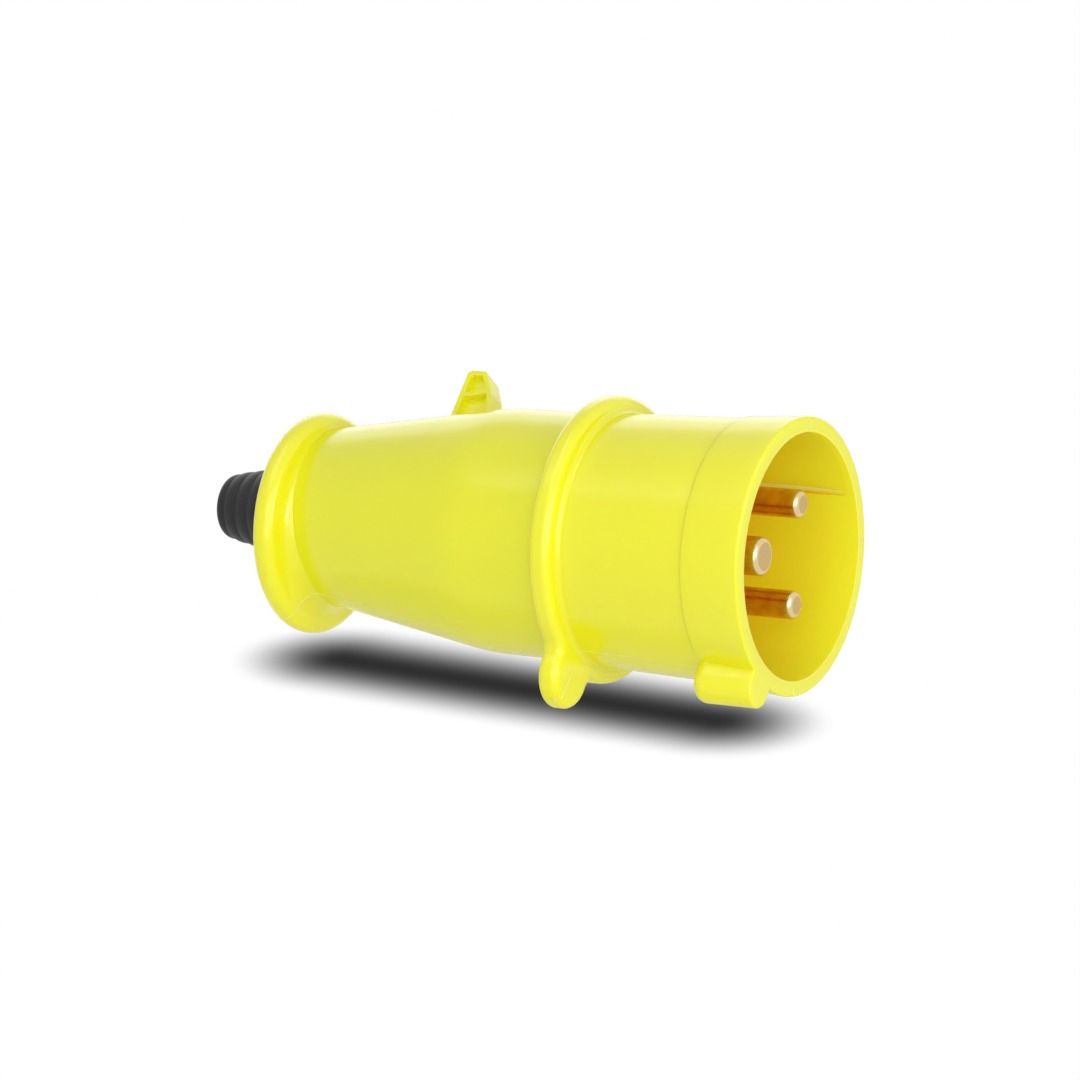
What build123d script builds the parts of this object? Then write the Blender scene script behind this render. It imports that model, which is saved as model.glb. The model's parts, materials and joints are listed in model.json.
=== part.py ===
from build123d import *
from math import acos, asin, atan2, cos, hypot, radians, sin
import os

# Industrial plug with three pins: two poles and an earth, wired from behind.
# It lies as it comes to rest, on its two flanges and the ear of the front one.
# The origin is the centre of the mouth. Distances along the plug are counted
# back from the mouth, and angles are counted from the key, seen from the front.

# Front shroud
MOUTH_RADIUS = 29.0
SHROUD_WALL = 3.3
RIM_EDGE = 0.5
COLLAR_LENGTH = 13.5
COLLAR_DRAFT = 1.0
COLLAR_STEP = 0.35
RECESS_DEPTH = 42.0
RECESS_DRAFT = 1.1
SLEEVE_WALL = 2.1
SLEEVE_FLARE = 1.2
WEB_THICKNESS = 2.6
WEB_LEDGE = 1.4
SPIGOT_WALL = 3.0
SPIGOT_LENGTH = 9.5

# Flat relief inside the shroud, opposite the key
RELIEF_DEPTH = 0.9
RELIEF_START = 1.6
RELIEF_LENGTH = 36.4
RELIEF_SPREAD = 63.0

# Flange of the front shroud, with an ear that stands out from it
FLANGE_SETBACK = 1.0
FLANGE_THICKNESS = 5.0
FLANGE_HEIGHT = 3.6
FLANGE_EDGE = 1.8
EAR_HEIGHT = 8.9
EAR_ROUND = 7.1
EAR_BLEND = 3.0

# Key along the outside of the mouth
KEY_WIDTH = 8.6
KEY_HEIGHT = 5.8
KEY_LENGTH = 14.0
KEY_END_ROUND = 2.6

# Rear body
BODY_LENGTH = 70.9
BODY_WALL = 2.6
BODY_STRAIGHT_LENGTH = 21.7
BODY_NECK_RADIUS = 18.8
BODY_BEND = 50.0
BODY_EDGE = 0.5
END_WALL = 6.5
JOINT_GAP = 0.3
SPIGOT_CLEARANCE = 0.1

# Rear flange, set off the axis towards the key
REAR_LIP_THICKNESS = 5.4
REAR_LIP_ROUND = 2.4
REAR_FLANGE_RADIUS = 23.9
REAR_FLANGE_OFFSET = 2.2
REAR_FLARE = 4.3
REAR_NECK_RADIUS = 17.2

# Retaining lug on the rear body, opposite the key, with a pocket in each side
LUG_SETBACK = 34.1
LUG_LENGTH = 9.7
LUG_HEIGHT = 12.4
LUG_DRAFT = 0.8
LUG_TOP_LENGTH = 4.5
LUG_TOP_ROUND = 1.1
LUG_SHOULDER_LEAN = 1.5
LUG_SHOULDER_HEIGHT = 7.2
LUG_SHOULDER_ROUND = 5.2
LUG_WIDTH = 5.8
LUG_WALL = 1.1
LUG_WEB = 2.5
LUG_RIB = 1.1
LUG_RIB_HEIGHT = 7.2
LUG_RIB_SLOPE = 12.0

# Contact pins
PIN_CIRCLE = 12.1
EARTH_RADIUS = 4.0
LIVE_RADIUS = 3.0
EARTH_SETBACK = 2.4
LIVE_SETBACK = 3.6
PIN_ROUND = 1.1
PIN_SHOULDER = 0.4
PIN_COLLAR_RIM = 1.8
PIN_COLLAR_THICKNESS = 2.5
TERMINAL_RIM = 1.0
TERMINAL_LENGTH = 14.0
TERMINAL_EDGE = 0.4
TERMINAL_FLAT = 0.8
WIRE_HOLE_WALL = 1.7
WIRE_HOLE_DEPTH = 11.0
TERMINAL_SCREW_SETBACK = 6.0

# Pin carrier
CARRIER_LENGTH = 17.4
CARRIER_RIM = 2.4
CARRIER_CLEARANCE = 0.1
CARRIER_FACE_EDGE = 0.4
PIN_BOSS_WALL = 2.0
PIN_BOSS_HEIGHT = 1.2
PIN_CLEARANCE = 0.08

# Housing screws, which clamp shroud, carrier and clamp frame to the rear body
HOUSING_SCREW_RADIUS = 1.75
HOUSING_SCREW_CIRCLE = 14.6
HOUSING_SCREW_DEPTH = 3.2
SCREW_BOSS_WALL = 1.65
SCREW_BOSS_LENGTH = 16.0
SCREW_BOSS_FLOOR = 1.5
SCREW_BOSS_ROOT = 2.1

# Screws in general
SCREW_CLEARANCE = 0.12
SCREW_END_ROOM = 1.0
TERMINAL_SCREW_RADIUS = 2.0
CLAMP_SCREW_RADIUS = 1.75
FRAME_SCREW_RADIUS = 2.0
FRAME_SCREW_LENGTH = 11.0
HEAD_RIM = 1.4
HEAD_HEIGHT = 2.2
SLOT_WIDTH = 1.0
SLOT_DEPTH = 1.1
NUT_FLATS = 6.4
NUT_THICKNESS = 2.6

# Clamp frame and saddle, which grip the cable behind the terminals
FRAME_PLATE = 3.0
FRAME_PLATE_STEP = 0.7
LEG_ROOM = 0.7
LEG_THICKNESS = 3.2
LEG_WIDTH = 7.0
JAW_SETBACK = 6.0
JAW_LENGTH = 9.0
JAW_GAP = 2.0
JAW_DEPTH = 7.0
JAW_BORE = 6.2
CLAMP_SCREW_INSET = 4.3
CLAMP_SCREW_END = 1.2
SADDLE_CLEARANCE = 0.35

# Seal between shroud and body
SEAL_SETBACK = 4.5
SEAL_THICKNESS = 1.9
SEAL_ROOM = 0.3
SEAL_CLEARANCE = 0.1

# Cable boot and its ring
BOOT_BORE = 4.75
BOOT_FLANGE_THICKNESS = 2.6
BOOT_NECK_RADIUS = 8.4
BOOT_CLEARANCE = 0.2
BOOT_TAIL_LENGTH = 21.1
BOOT_TAIL_RADIUS = 10.3
BOOT_TAIL_END_RADIUS = 6.6
BOOT_RINGS = 6
BOOT_RING_STEP = 0.3
BOOT_END_ROUND = 1.5
BOOT_RING_THICKNESS = 2.4

# Angles around the plug, counted from the key
LUG_ANGLE = 180.0
EARTH_ANGLE = -60.0
LIVE_ANGLES = (60.0, 180.0)
HOUSING_SCREW_ANGLES = (120.0, -120.0)

# Radii that follow from the ones above, from the pins outwards
CARRIER_RADIUS = PIN_CIRCLE + EARTH_RADIUS + PIN_COLLAR_RIM + CARRIER_RIM
FRAME_PLATE_RADIUS = CARRIER_RADIUS - FRAME_PLATE_STEP
SPIGOT_BORE = CARRIER_RADIUS + CARRIER_CLEARANCE
WEB_OPENING = SPIGOT_BORE - WEB_LEDGE
SPIGOT_RADIUS = SPIGOT_BORE + SPIGOT_WALL
BODY_INNER_RADIUS = SPIGOT_RADIUS + SPIGOT_CLEARANCE
BODY_RADIUS = BODY_INNER_RADIUS + BODY_WALL
SEAL_FLOOR = BODY_INNER_RADIUS - SEAL_THICKNESS - 2 * SEAL_CLEARANCE
SCREW_BOSS_RADIUS = HOUSING_SCREW_RADIUS + SCREW_BOSS_WALL
RECESS_RADIUS = MOUTH_RADIUS - SHROUD_WALL
RECESS_END_RADIUS = RECESS_RADIUS - RECESS_DRAFT
COLLAR_END_RADIUS = MOUTH_RADIUS - COLLAR_DRAFT
SLEEVE_END_RADIUS = RECESS_END_RADIUS + SLEEVE_WALL
FLANGE_RADIUS = SLEEVE_END_RADIUS + FLANGE_HEIGHT
EAR_REACH = FLANGE_RADIUS + EAR_HEIGHT
KEY_REACH = MOUTH_RADIUS + KEY_HEIGHT
JAW_BACK = JAW_GAP / 2 + JAW_DEPTH

# Distances that follow, from the mouth backwards
PIN_BOSS_FACE = RECESS_DEPTH - PIN_BOSS_HEIGHT
RELIEF_END = RELIEF_START + RELIEF_LENGTH
HOUSING_SCREW_SEAT = RECESS_DEPTH + HOUSING_SCREW_DEPTH
WEB_BACK = RECESS_DEPTH + WEB_THICKNESS
FLANGE_FRONT = RECESS_DEPTH + FLANGE_SETBACK
FLANGE_BACK = FLANGE_FRONT + FLANGE_THICKNESS
SEAL_PLACE = FLANGE_BACK + SEAL_SETBACK
SPIGOT_END = FLANGE_BACK + SPIGOT_LENGTH
CARRIER_REAR = WEB_BACK + CARRIER_LENGTH
PIN_COLLAR_FRONT = CARRIER_REAR - PIN_COLLAR_THICKNESS
FRAME_BACK = CARRIER_REAR + FRAME_PLATE
SCREW_BOSS_END = FRAME_BACK + SCREW_BOSS_LENGTH
TERMINAL_END = FRAME_BACK + TERMINAL_LENGTH
TERMINAL_SCREW_PLACE = TERMINAL_END - TERMINAL_SCREW_SETBACK
JAW_START = TERMINAL_END + JAW_SETBACK
JAW_MIDDLE = JAW_START + JAW_LENGTH / 2
JAW_END = JAW_START + JAW_LENGTH
BODY_START = FLANGE_BACK + JOINT_GAP
BODY_STRAIGHT_END = BODY_START + BODY_STRAIGHT_LENGTH
LUG_FRONT = BODY_START + LUG_SETBACK
LUG_BACK = LUG_FRONT + LUG_LENGTH
REAR_FACE = BODY_START + BODY_LENGTH
REAR_LIP_FRONT = REAR_FACE - REAR_LIP_THICKNESS
FLARE_START = REAR_LIP_FRONT - 2 * REAR_FLARE
CAVITY_END = REAR_FACE - END_WALL
BOOT_FLANGE_FRONT = CAVITY_END - BOOT_FLANGE_THICKNESS
BOOT_RING_FRONT = BOOT_FLANGE_FRONT - BOOT_RING_THICKNESS
BOOT_END = REAR_FACE + BOOT_TAIL_LENGTH

PIN_PLACES = [(EARTH_ANGLE, EARTH_RADIUS)] + [(angle, LIVE_RADIUS) for angle in LIVE_ANGLES]


# How the plug lies: rolled until the ear touches the ground beside the flange,
# and with its nose up, because the rear flange is the lower of the two.
ROLL = acos((FLANGE_RADIUS - EAR_ROUND) / (EAR_REACH - EAR_ROUND))
rear_reach = REAR_FLANGE_RADIUS + REAR_FLANGE_OFFSET * cos(ROLL)
lip_spacing = (REAR_FACE - REAR_LIP_ROUND) - (FLANGE_BACK - FLANGE_EDGE)
lip_drop = (FLANGE_RADIUS - FLANGE_EDGE) - (rear_reach - REAR_LIP_ROUND)
TILT = atan2(lip_drop, lip_spacing) + asin(
    (FLANGE_EDGE - REAR_LIP_ROUND) / hypot(lip_drop, lip_spacing)
)

# Directions: out of the mouth, and from the axis towards the key
OUTWARDS = Vector(cos(TILT), 0, sin(TILT))
TO_KEY = Vector(cos(ROLL) * sin(TILT), -sin(ROLL), -cos(ROLL) * cos(TILT))
PLUG_AXIS = Axis((0, 0, 0), tuple(OUTWARDS))
MOUTH = Plane(origin=(0, 0, 0), x_dir=TO_KEY, z_dir=OUTWARDS)

# Plane of the turned profiles: distance behind the mouth, then radius towards the key
SIDE = Plane(origin=(0, 0, 0), x_dir=-OUTWARDS, z_dir=TO_KEY.cross(OUTWARDS))

# The same plane and axis for the rear flange, shifted towards the key
REAR_SIDE = Plane(origin=TO_KEY * REAR_FLANGE_OFFSET, x_dir=SIDE.x_dir, z_dir=SIDE.z_dir)
REAR_AXIS = Axis(REAR_SIDE.origin, OUTWARDS)


def section(distance):
    """Cross-section plane that far behind the mouth, facing out of the mouth."""
    return MOUTH.offset(-distance)


def outwards_at(angle):
    """Direction away from the axis, at that angle from the key."""
    return MOUTH.x_dir * cos(radians(angle)) + MOUTH.y_dir * sin(radians(angle))


def side_plane(angle):
    """Plane of a turned profile whose radius points at that angle from the key."""
    return Plane(origin=(0, 0, 0), x_dir=-OUTWARDS, z_dir=outwards_at(angle).cross(OUTWARDS))


def facing_out(angle, radius, distance):
    """Plane that faces away from the axis, at that angle, radius and distance."""
    direction = outwards_at(angle)
    return Plane(origin=direction * radius - OUTWARDS * distance, x_dir=OUTWARDS, z_dir=direction)


def bore_radius(distance):
    """Inner radius of the shroud, which narrows towards the web."""
    return RECESS_RADIUS - RECESS_DRAFT * distance / RECESS_DEPTH


def body_radius(distance):
    """Outer radius of the rear body, a cone behind its straight part."""
    taper = (BODY_RADIUS - BODY_NECK_RADIUS) / (REAR_LIP_FRONT - BODY_STRAIGHT_END)
    return BODY_RADIUS - max(0, distance - BODY_STRAIGHT_END) * taper


def cavity_radius(distance):
    """Inner radius of the rear body, one wall inside the cone."""
    return body_radius(distance) - BODY_WALL


def boot_radius(distance):
    """Outer radius of the boot's tail, which tapers to its end."""
    taper = (BOOT_TAIL_RADIUS - BOOT_TAIL_END_RADIUS) / BOOT_TAIL_LENGTH
    return BOOT_TAIL_RADIUS - (distance - REAR_FACE) * taper


os.makedirs("parts", exist_ok=True)

# Front shroud: sleeve with a collar at the mouth, web, spigot, flange, ear and key
with BuildPart() as flange_plate:
    with BuildSketch(section(FLANGE_BACK)):
        Circle(FLANGE_RADIUS)
        with Locations(((EAR_REACH - EAR_ROUND) / 2, 0)):
            Rectangle(EAR_REACH - EAR_ROUND, 2 * EAR_ROUND)
        with Locations((EAR_REACH - EAR_ROUND, 0)):
            Circle(EAR_ROUND)
    extrude(amount=FLANGE_THICKNESS)
    ear_corners = flange_plate.edges().filter_by(PLUG_AXIS).sort_by_distance(MOUTH.origin)[:2]
    fillet(ear_corners, EAR_BLEND)
    plate_faces = flange_plate.faces().sort_by(PLUG_AXIS)
    fillet(plate_faces[0].edges() + plate_faces[-1].edges(), FLANGE_EDGE)

with BuildPart() as key_bar:
    with BuildSketch(section(KEY_LENGTH)):
        with Locations(((KEY_REACH - KEY_WIDTH / 2) / 2, 0)):
            Rectangle(KEY_REACH - KEY_WIDTH / 2, KEY_WIDTH)
        with Locations((KEY_REACH - KEY_WIDTH / 2, 0)):
            Circle(KEY_WIDTH / 2)
    extrude(amount=KEY_LENGTH)
    bar_ends = key_bar.faces().sort_by(PLUG_AXIS)
    fillet(bar_ends[0].edges(), KEY_END_ROUND)
    fillet(bar_ends[-1].edges(), RIM_EDGE)

with BuildPart() as front_shroud:
    with BuildSketch(SIDE):
        with BuildLine():
            FilletPolyline(
                (0, 0),
                (0, MOUTH_RADIUS),
                (COLLAR_LENGTH, COLLAR_END_RADIUS),
                (COLLAR_LENGTH, COLLAR_END_RADIUS - COLLAR_STEP),
                (FLANGE_FRONT, SLEEVE_END_RADIUS),
                (FLANGE_FRONT, FLANGE_RADIUS - FLANGE_EDGE),
                (FLANGE_BACK, FLANGE_RADIUS - FLANGE_EDGE),
                (FLANGE_BACK, SPIGOT_RADIUS),
                (SPIGOT_END, SPIGOT_RADIUS),
                (SPIGOT_END, 0),
                radius=(0, RIM_EDGE, 0, 0, SLEEVE_FLARE, 0, 0, 0, RIM_EDGE, 0),
                close=True,
            )
        make_face()
    revolve(axis=PLUG_AXIS)
    add(flange_plate.part)
    add(key_bar.part)
    with BuildSketch(SIDE):
        with BuildLine():
            FilletPolyline(
                (0, 0),
                (0, bore_radius(0)),
                (RECESS_DEPTH, bore_radius(RECESS_DEPTH)),
                (RECESS_DEPTH, WEB_OPENING),
                (WEB_BACK, WEB_OPENING),
                (WEB_BACK, SPIGOT_BORE),
                (SPIGOT_END, SPIGOT_BORE),
                (SPIGOT_END, 0),
                radius=(0, 0, RIM_EDGE, 0, 0, 0, 0, 0),
                close=True,
            )
        make_face()
    revolve(axis=PLUG_AXIS, mode=Mode.SUBTRACT)
    with BuildSketch(SIDE):
        with Locations((SEAL_PLACE, SPIGOT_RADIUS)):
            Rectangle(SEAL_THICKNESS + SEAL_ROOM, 2 * (SPIGOT_RADIUS - SEAL_FLOOR))
    revolve(axis=PLUG_AXIS, mode=Mode.SUBTRACT)
    with BuildSketch(side_plane(LUG_ANGLE - RELIEF_SPREAD / 2)):
        relief_middle = (RELIEF_START + RELIEF_END) / 2
        with BuildLine():
            Polyline(
                (RELIEF_START, bore_radius(RELIEF_START)),
                (RELIEF_START, bore_radius(RELIEF_END) - RELIEF_DEPTH),
                (RELIEF_END, bore_radius(RELIEF_END) - RELIEF_DEPTH),
                (RELIEF_END, bore_radius(RELIEF_END)),
            )
            ThreePointArc(
                (RELIEF_END, bore_radius(RELIEF_END)),
                (relief_middle, bore_radius(relief_middle) + RELIEF_DEPTH),
                (RELIEF_START, bore_radius(RELIEF_START)),
            )
        make_face()
    revolve(axis=PLUG_AXIS, revolution_arc=RELIEF_SPREAD, mode=Mode.SUBTRACT)
front_shroud.part.label = "front_shroud"
export_step(front_shroud.part, "parts/front_shroud.step")


# Rear body: straight then conical housing with a flared flange and the retaining lug.
# The lug is a frame around two pockets, with a rib between them and a web behind.
lug_foot = body_radius(LUG_FRONT)
LUG_OUTLINE = (
    (LUG_FRONT, -cavity_radius(LUG_BACK)),
    (LUG_FRONT, -lug_foot),
    (LUG_FRONT + LUG_SHOULDER_LEAN, -lug_foot - LUG_SHOULDER_HEIGHT),
    (LUG_BACK - LUG_DRAFT - LUG_TOP_LENGTH, -lug_foot - LUG_HEIGHT),
    (LUG_BACK - LUG_DRAFT, -lug_foot - LUG_HEIGHT),
    (LUG_BACK, -cavity_radius(LUG_BACK)),
)
LUG_ROUNDS = (0, 0, LUG_SHOULDER_ROUND, LUG_TOP_ROUND, LUG_TOP_ROUND, 0)

with BuildPart() as lug:
    with BuildSketch(SIDE):
        with BuildLine():
            FilletPolyline(*LUG_OUTLINE, radius=LUG_ROUNDS, close=True)
        make_face()
    extrude(amount=LUG_WEB / 2, both=True)
    with BuildSketch(SIDE) as lug_frame:
        with BuildLine():
            FilletPolyline(*LUG_OUTLINE, radius=LUG_ROUNDS, close=True)
        make_face()
        with BuildSketch(mode=Mode.SUBTRACT):
            with BuildLine():
                FilletPolyline(*LUG_OUTLINE, radius=LUG_ROUNDS, close=True)
            make_face()
            offset(amount=-LUG_WALL)
            with Locations((LUG_FRONT + LUG_LENGTH / 2, -lug_foot - LUG_RIB_HEIGHT)):
                Rectangle(2 * LUG_LENGTH, LUG_RIB, rotation=LUG_RIB_SLOPE, mode=Mode.SUBTRACT)
            with Locations((LUG_FRONT + LUG_LENGTH / 2, 0)):
                Rectangle(LUG_LENGTH, 2 * (lug_foot + LUG_WALL), mode=Mode.SUBTRACT)
    extrude(amount=LUG_WIDTH / 2, both=True)

boss_root = cavity_radius(SCREW_BOSS_END) + SCREW_BOSS_ROOT

with BuildPart() as rear_body:
    with BuildSketch(SIDE):
        with BuildLine():
            FilletPolyline(
                (BODY_START, 0),
                (BODY_START, BODY_RADIUS),
                (BODY_STRAIGHT_END, BODY_RADIUS),
                (REAR_LIP_FRONT, BODY_NECK_RADIUS),
                (REAR_FACE, BODY_NECK_RADIUS),
                (REAR_FACE, 0),
                radius=(0, BODY_EDGE, BODY_BEND, 0, 0, 0),
                close=True,
            )
        make_face()
    revolve(axis=PLUG_AXIS)
    with BuildSketch(REAR_SIDE):
        with BuildLine():
            FilletPolyline(
                (FLARE_START, 0),
                (FLARE_START, REAR_NECK_RADIUS),
                (REAR_LIP_FRONT, REAR_NECK_RADIUS),
                (REAR_LIP_FRONT, REAR_FLANGE_RADIUS),
                (REAR_FACE, REAR_FLANGE_RADIUS),
                (REAR_FACE, 0),
                radius=(0, 0, REAR_FLARE, REAR_LIP_ROUND, REAR_LIP_ROUND, 0),
                close=True,
            )
        make_face()
    revolve(axis=REAR_AXIS)
    add(lug.part)
    with BuildSketch(SIDE):
        with BuildLine():
            Polyline(
                (BODY_START, 0),
                (BODY_START, BODY_INNER_RADIUS),
                (BODY_STRAIGHT_END, BODY_INNER_RADIUS),
                (CAVITY_END, cavity_radius(CAVITY_END)),
                (CAVITY_END, BOOT_NECK_RADIUS + BOOT_CLEARANCE),
                (REAR_FACE, BOOT_NECK_RADIUS + BOOT_CLEARANCE),
                (REAR_FACE, 0),
                close=True,
            )
        make_face()
    revolve(axis=PLUG_AXIS, mode=Mode.SUBTRACT)
    with BuildSketch(section(SCREW_BOSS_END)):
        for angle in HOUSING_SCREW_ANGLES:
            with PolarLocations(HOUSING_SCREW_CIRCLE, 1, angle):
                Circle(SCREW_BOSS_RADIUS)
            with PolarLocations((HOUSING_SCREW_CIRCLE + boss_root) / 2, 1, angle):
                Rectangle(boss_root - HOUSING_SCREW_CIRCLE, 2 * SCREW_BOSS_RADIUS)
    extrude(amount=SCREW_BOSS_END - FRAME_BACK)
    with BuildSketch(section(SCREW_BOSS_END - SCREW_BOSS_FLOOR)):
        for angle in HOUSING_SCREW_ANGLES:
            with PolarLocations(HOUSING_SCREW_CIRCLE, 1, angle):
                Circle(HOUSING_SCREW_RADIUS + SCREW_CLEARANCE)
    extrude(amount=SCREW_BOSS_END - SCREW_BOSS_FLOOR - FRAME_BACK, mode=Mode.SUBTRACT)
rear_body.part.label = "rear_body"
export_step(rear_body.part, "parts/rear_body.step")


# Pin carrier: holds the pins and stands against the web of the shroud
with BuildPart() as pin_carrier:
    with BuildSketch(section(CARRIER_REAR)):
        Circle(CARRIER_RADIUS)
    extrude(amount=CARRIER_LENGTH)
    with BuildSketch(section(WEB_BACK)):
        Circle(WEB_OPENING - CARRIER_CLEARANCE)
    extrude(amount=WEB_THICKNESS)
    fillet(pin_carrier.faces().sort_by(PLUG_AXIS)[-1].edges(), CARRIER_FACE_EDGE)
    with BuildSketch(section(RECESS_DEPTH)):
        for angle, radius in PIN_PLACES:
            with PolarLocations(PIN_CIRCLE, 1, angle):
                Circle(radius + PIN_BOSS_WALL)
    extrude(amount=PIN_BOSS_HEIGHT)
    with BuildSketch(section(CARRIER_REAR)):
        for angle, radius in PIN_PLACES:
            with PolarLocations(PIN_CIRCLE, 1, angle):
                Circle(radius + PIN_SHOULDER + PIN_CLEARANCE)
        for angle in HOUSING_SCREW_ANGLES:
            with PolarLocations(HOUSING_SCREW_CIRCLE, 1, angle):
                Circle(HOUSING_SCREW_RADIUS + SCREW_CLEARANCE)
    extrude(amount=CARRIER_REAR - PIN_BOSS_FACE, mode=Mode.SUBTRACT)
    with BuildSketch(section(CARRIER_REAR)):
        for angle, radius in PIN_PLACES:
            with PolarLocations(PIN_CIRCLE, 1, angle):
                Circle(radius + PIN_COLLAR_RIM + PIN_CLEARANCE)
    extrude(amount=PIN_COLLAR_THICKNESS, mode=Mode.SUBTRACT)
    with BuildSketch(section(HOUSING_SCREW_SEAT)):
        for angle in HOUSING_SCREW_ANGLES:
            with PolarLocations(HOUSING_SCREW_CIRCLE, 1, angle):
                Circle(HOUSING_SCREW_RADIUS + HEAD_RIM + SCREW_CLEARANCE)
    extrude(amount=HOUSING_SCREW_SEAT - RECESS_DEPTH, mode=Mode.SUBTRACT)
    with BuildSketch(section(CARRIER_REAR)):
        Circle(FRAME_SCREW_RADIUS + SCREW_CLEARANCE)
    extrude(amount=FRAME_SCREW_LENGTH - FRAME_PLATE + SCREW_END_ROOM, mode=Mode.SUBTRACT)
pin_carrier.part.label = "pin_carrier"
export_step(pin_carrier.part, "parts/pin_carrier.step")


# Contact pins: turned in one piece, with a thicker part in the carrier, a collar
# behind it and a terminal that takes the wire
def contact_pin(name, angle, radius, setback):
    terminal_radius = radius + TERMINAL_RIM
    flat_radius = PIN_CIRCLE + terminal_radius - TERMINAL_FLAT
    with BuildPart() as pin:
        with BuildSketch(section(PIN_BOSS_FACE)):
            with PolarLocations(PIN_CIRCLE, 1, angle):
                Circle(radius)
        extrude(amount=PIN_BOSS_FACE - setback)
        fillet(pin.faces().sort_by(PLUG_AXIS)[-1].edges(), PIN_ROUND)
        with BuildSketch(section(PIN_COLLAR_FRONT)):
            with PolarLocations(PIN_CIRCLE, 1, angle):
                Circle(radius + PIN_SHOULDER)
        extrude(amount=PIN_COLLAR_FRONT - PIN_BOSS_FACE)
        with BuildSketch(section(CARRIER_REAR)):
            with PolarLocations(PIN_CIRCLE, 1, angle):
                Circle(radius + PIN_COLLAR_RIM)
        extrude(amount=PIN_COLLAR_THICKNESS)
        with BuildSketch(section(TERMINAL_END)):
            with PolarLocations(PIN_CIRCLE, 1, angle):
                Circle(terminal_radius)
        extrude(amount=FRAME_PLATE + TERMINAL_LENGTH)
        chamfer(pin.faces().sort_by(PLUG_AXIS)[0].edges(), TERMINAL_EDGE)
        with BuildSketch(section(TERMINAL_END)):
            with PolarLocations(PIN_CIRCLE, 1, angle):
                Circle(terminal_radius - WIRE_HOLE_WALL)
        extrude(amount=WIRE_HOLE_DEPTH, mode=Mode.SUBTRACT)
        flat = facing_out(angle, flat_radius, TERMINAL_SCREW_PLACE)
        with BuildSketch(flat):
            Circle(TERMINAL_SCREW_RADIUS + HEAD_RIM + SCREW_CLEARANCE)
        extrude(amount=2 * TERMINAL_FLAT, mode=Mode.SUBTRACT)
        with BuildSketch(flat):
            Circle(TERMINAL_SCREW_RADIUS + SCREW_CLEARANCE)
        extrude(amount=TERMINAL_FLAT - terminal_radius, mode=Mode.SUBTRACT)
    pin.part.label = name
    export_step(pin.part, f"parts/{name}.step")


# Slotted screws: the head stands on the seat plane, at a place in that plane
def screw(name, seat, place, radius, length):
    with BuildPart() as body:
        with BuildSketch(seat):
            with Locations(place):
                Circle(radius)
        extrude(amount=-length)
        with BuildSketch(seat):
            with Locations(place):
                Circle(radius + HEAD_RIM)
        extrude(amount=HEAD_HEIGHT)
        with BuildSketch(seat.offset(HEAD_HEIGHT)):
            with Locations(place):
                Rectangle(2 * (radius + HEAD_RIM), SLOT_WIDTH)
        extrude(amount=-SLOT_DEPTH, mode=Mode.SUBTRACT)
    body.part.label = name
    export_step(body.part, f"parts/{name}.step")


def terminal_screw(name, angle, radius):
    terminal_radius = radius + TERMINAL_RIM
    seat = facing_out(angle, PIN_CIRCLE + terminal_radius - TERMINAL_FLAT, TERMINAL_SCREW_PLACE)
    screw(name, seat, (0, 0), TERMINAL_SCREW_RADIUS, terminal_radius - TERMINAL_FLAT)


contact_pin("earth_pin", EARTH_ANGLE, EARTH_RADIUS, EARTH_SETBACK)
terminal_screw("earth_terminal_screw", EARTH_ANGLE, EARTH_RADIUS)
for number, angle in enumerate(LIVE_ANGLES, start=1):
    contact_pin(f"live_pin_{number}", angle, LIVE_RADIUS, LIVE_SETBACK)
    terminal_screw(f"live_terminal_screw_{number}", angle, LIVE_RADIUS)

for number, angle in enumerate(HOUSING_SCREW_ANGLES, start=1):
    place = Vector(HOUSING_SCREW_CIRCLE, 0).rotate(Axis.Z, angle)
    screw(
        f"housing_screw_{number}",
        section(HOUSING_SCREW_SEAT),
        place,
        HOUSING_SCREW_RADIUS,
        SCREW_BOSS_END - SCREW_BOSS_FLOOR - SCREW_END_ROOM - HOUSING_SCREW_SEAT,
    )

screw("frame_screw", -section(FRAME_BACK), (0, 0), FRAME_SCREW_RADIUS, FRAME_SCREW_LENGTH)


# The legs of the clamp frame stand just clear of the cone, and the screws beside them
leg_outside = cavity_radius(JAW_END) - LEG_ROOM
leg_inside = leg_outside - LEG_THICKNESS
leg_middle = leg_outside - LEG_THICKNESS / 2
clamp_screw_spread = leg_inside - CLAMP_SCREW_INSET

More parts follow.
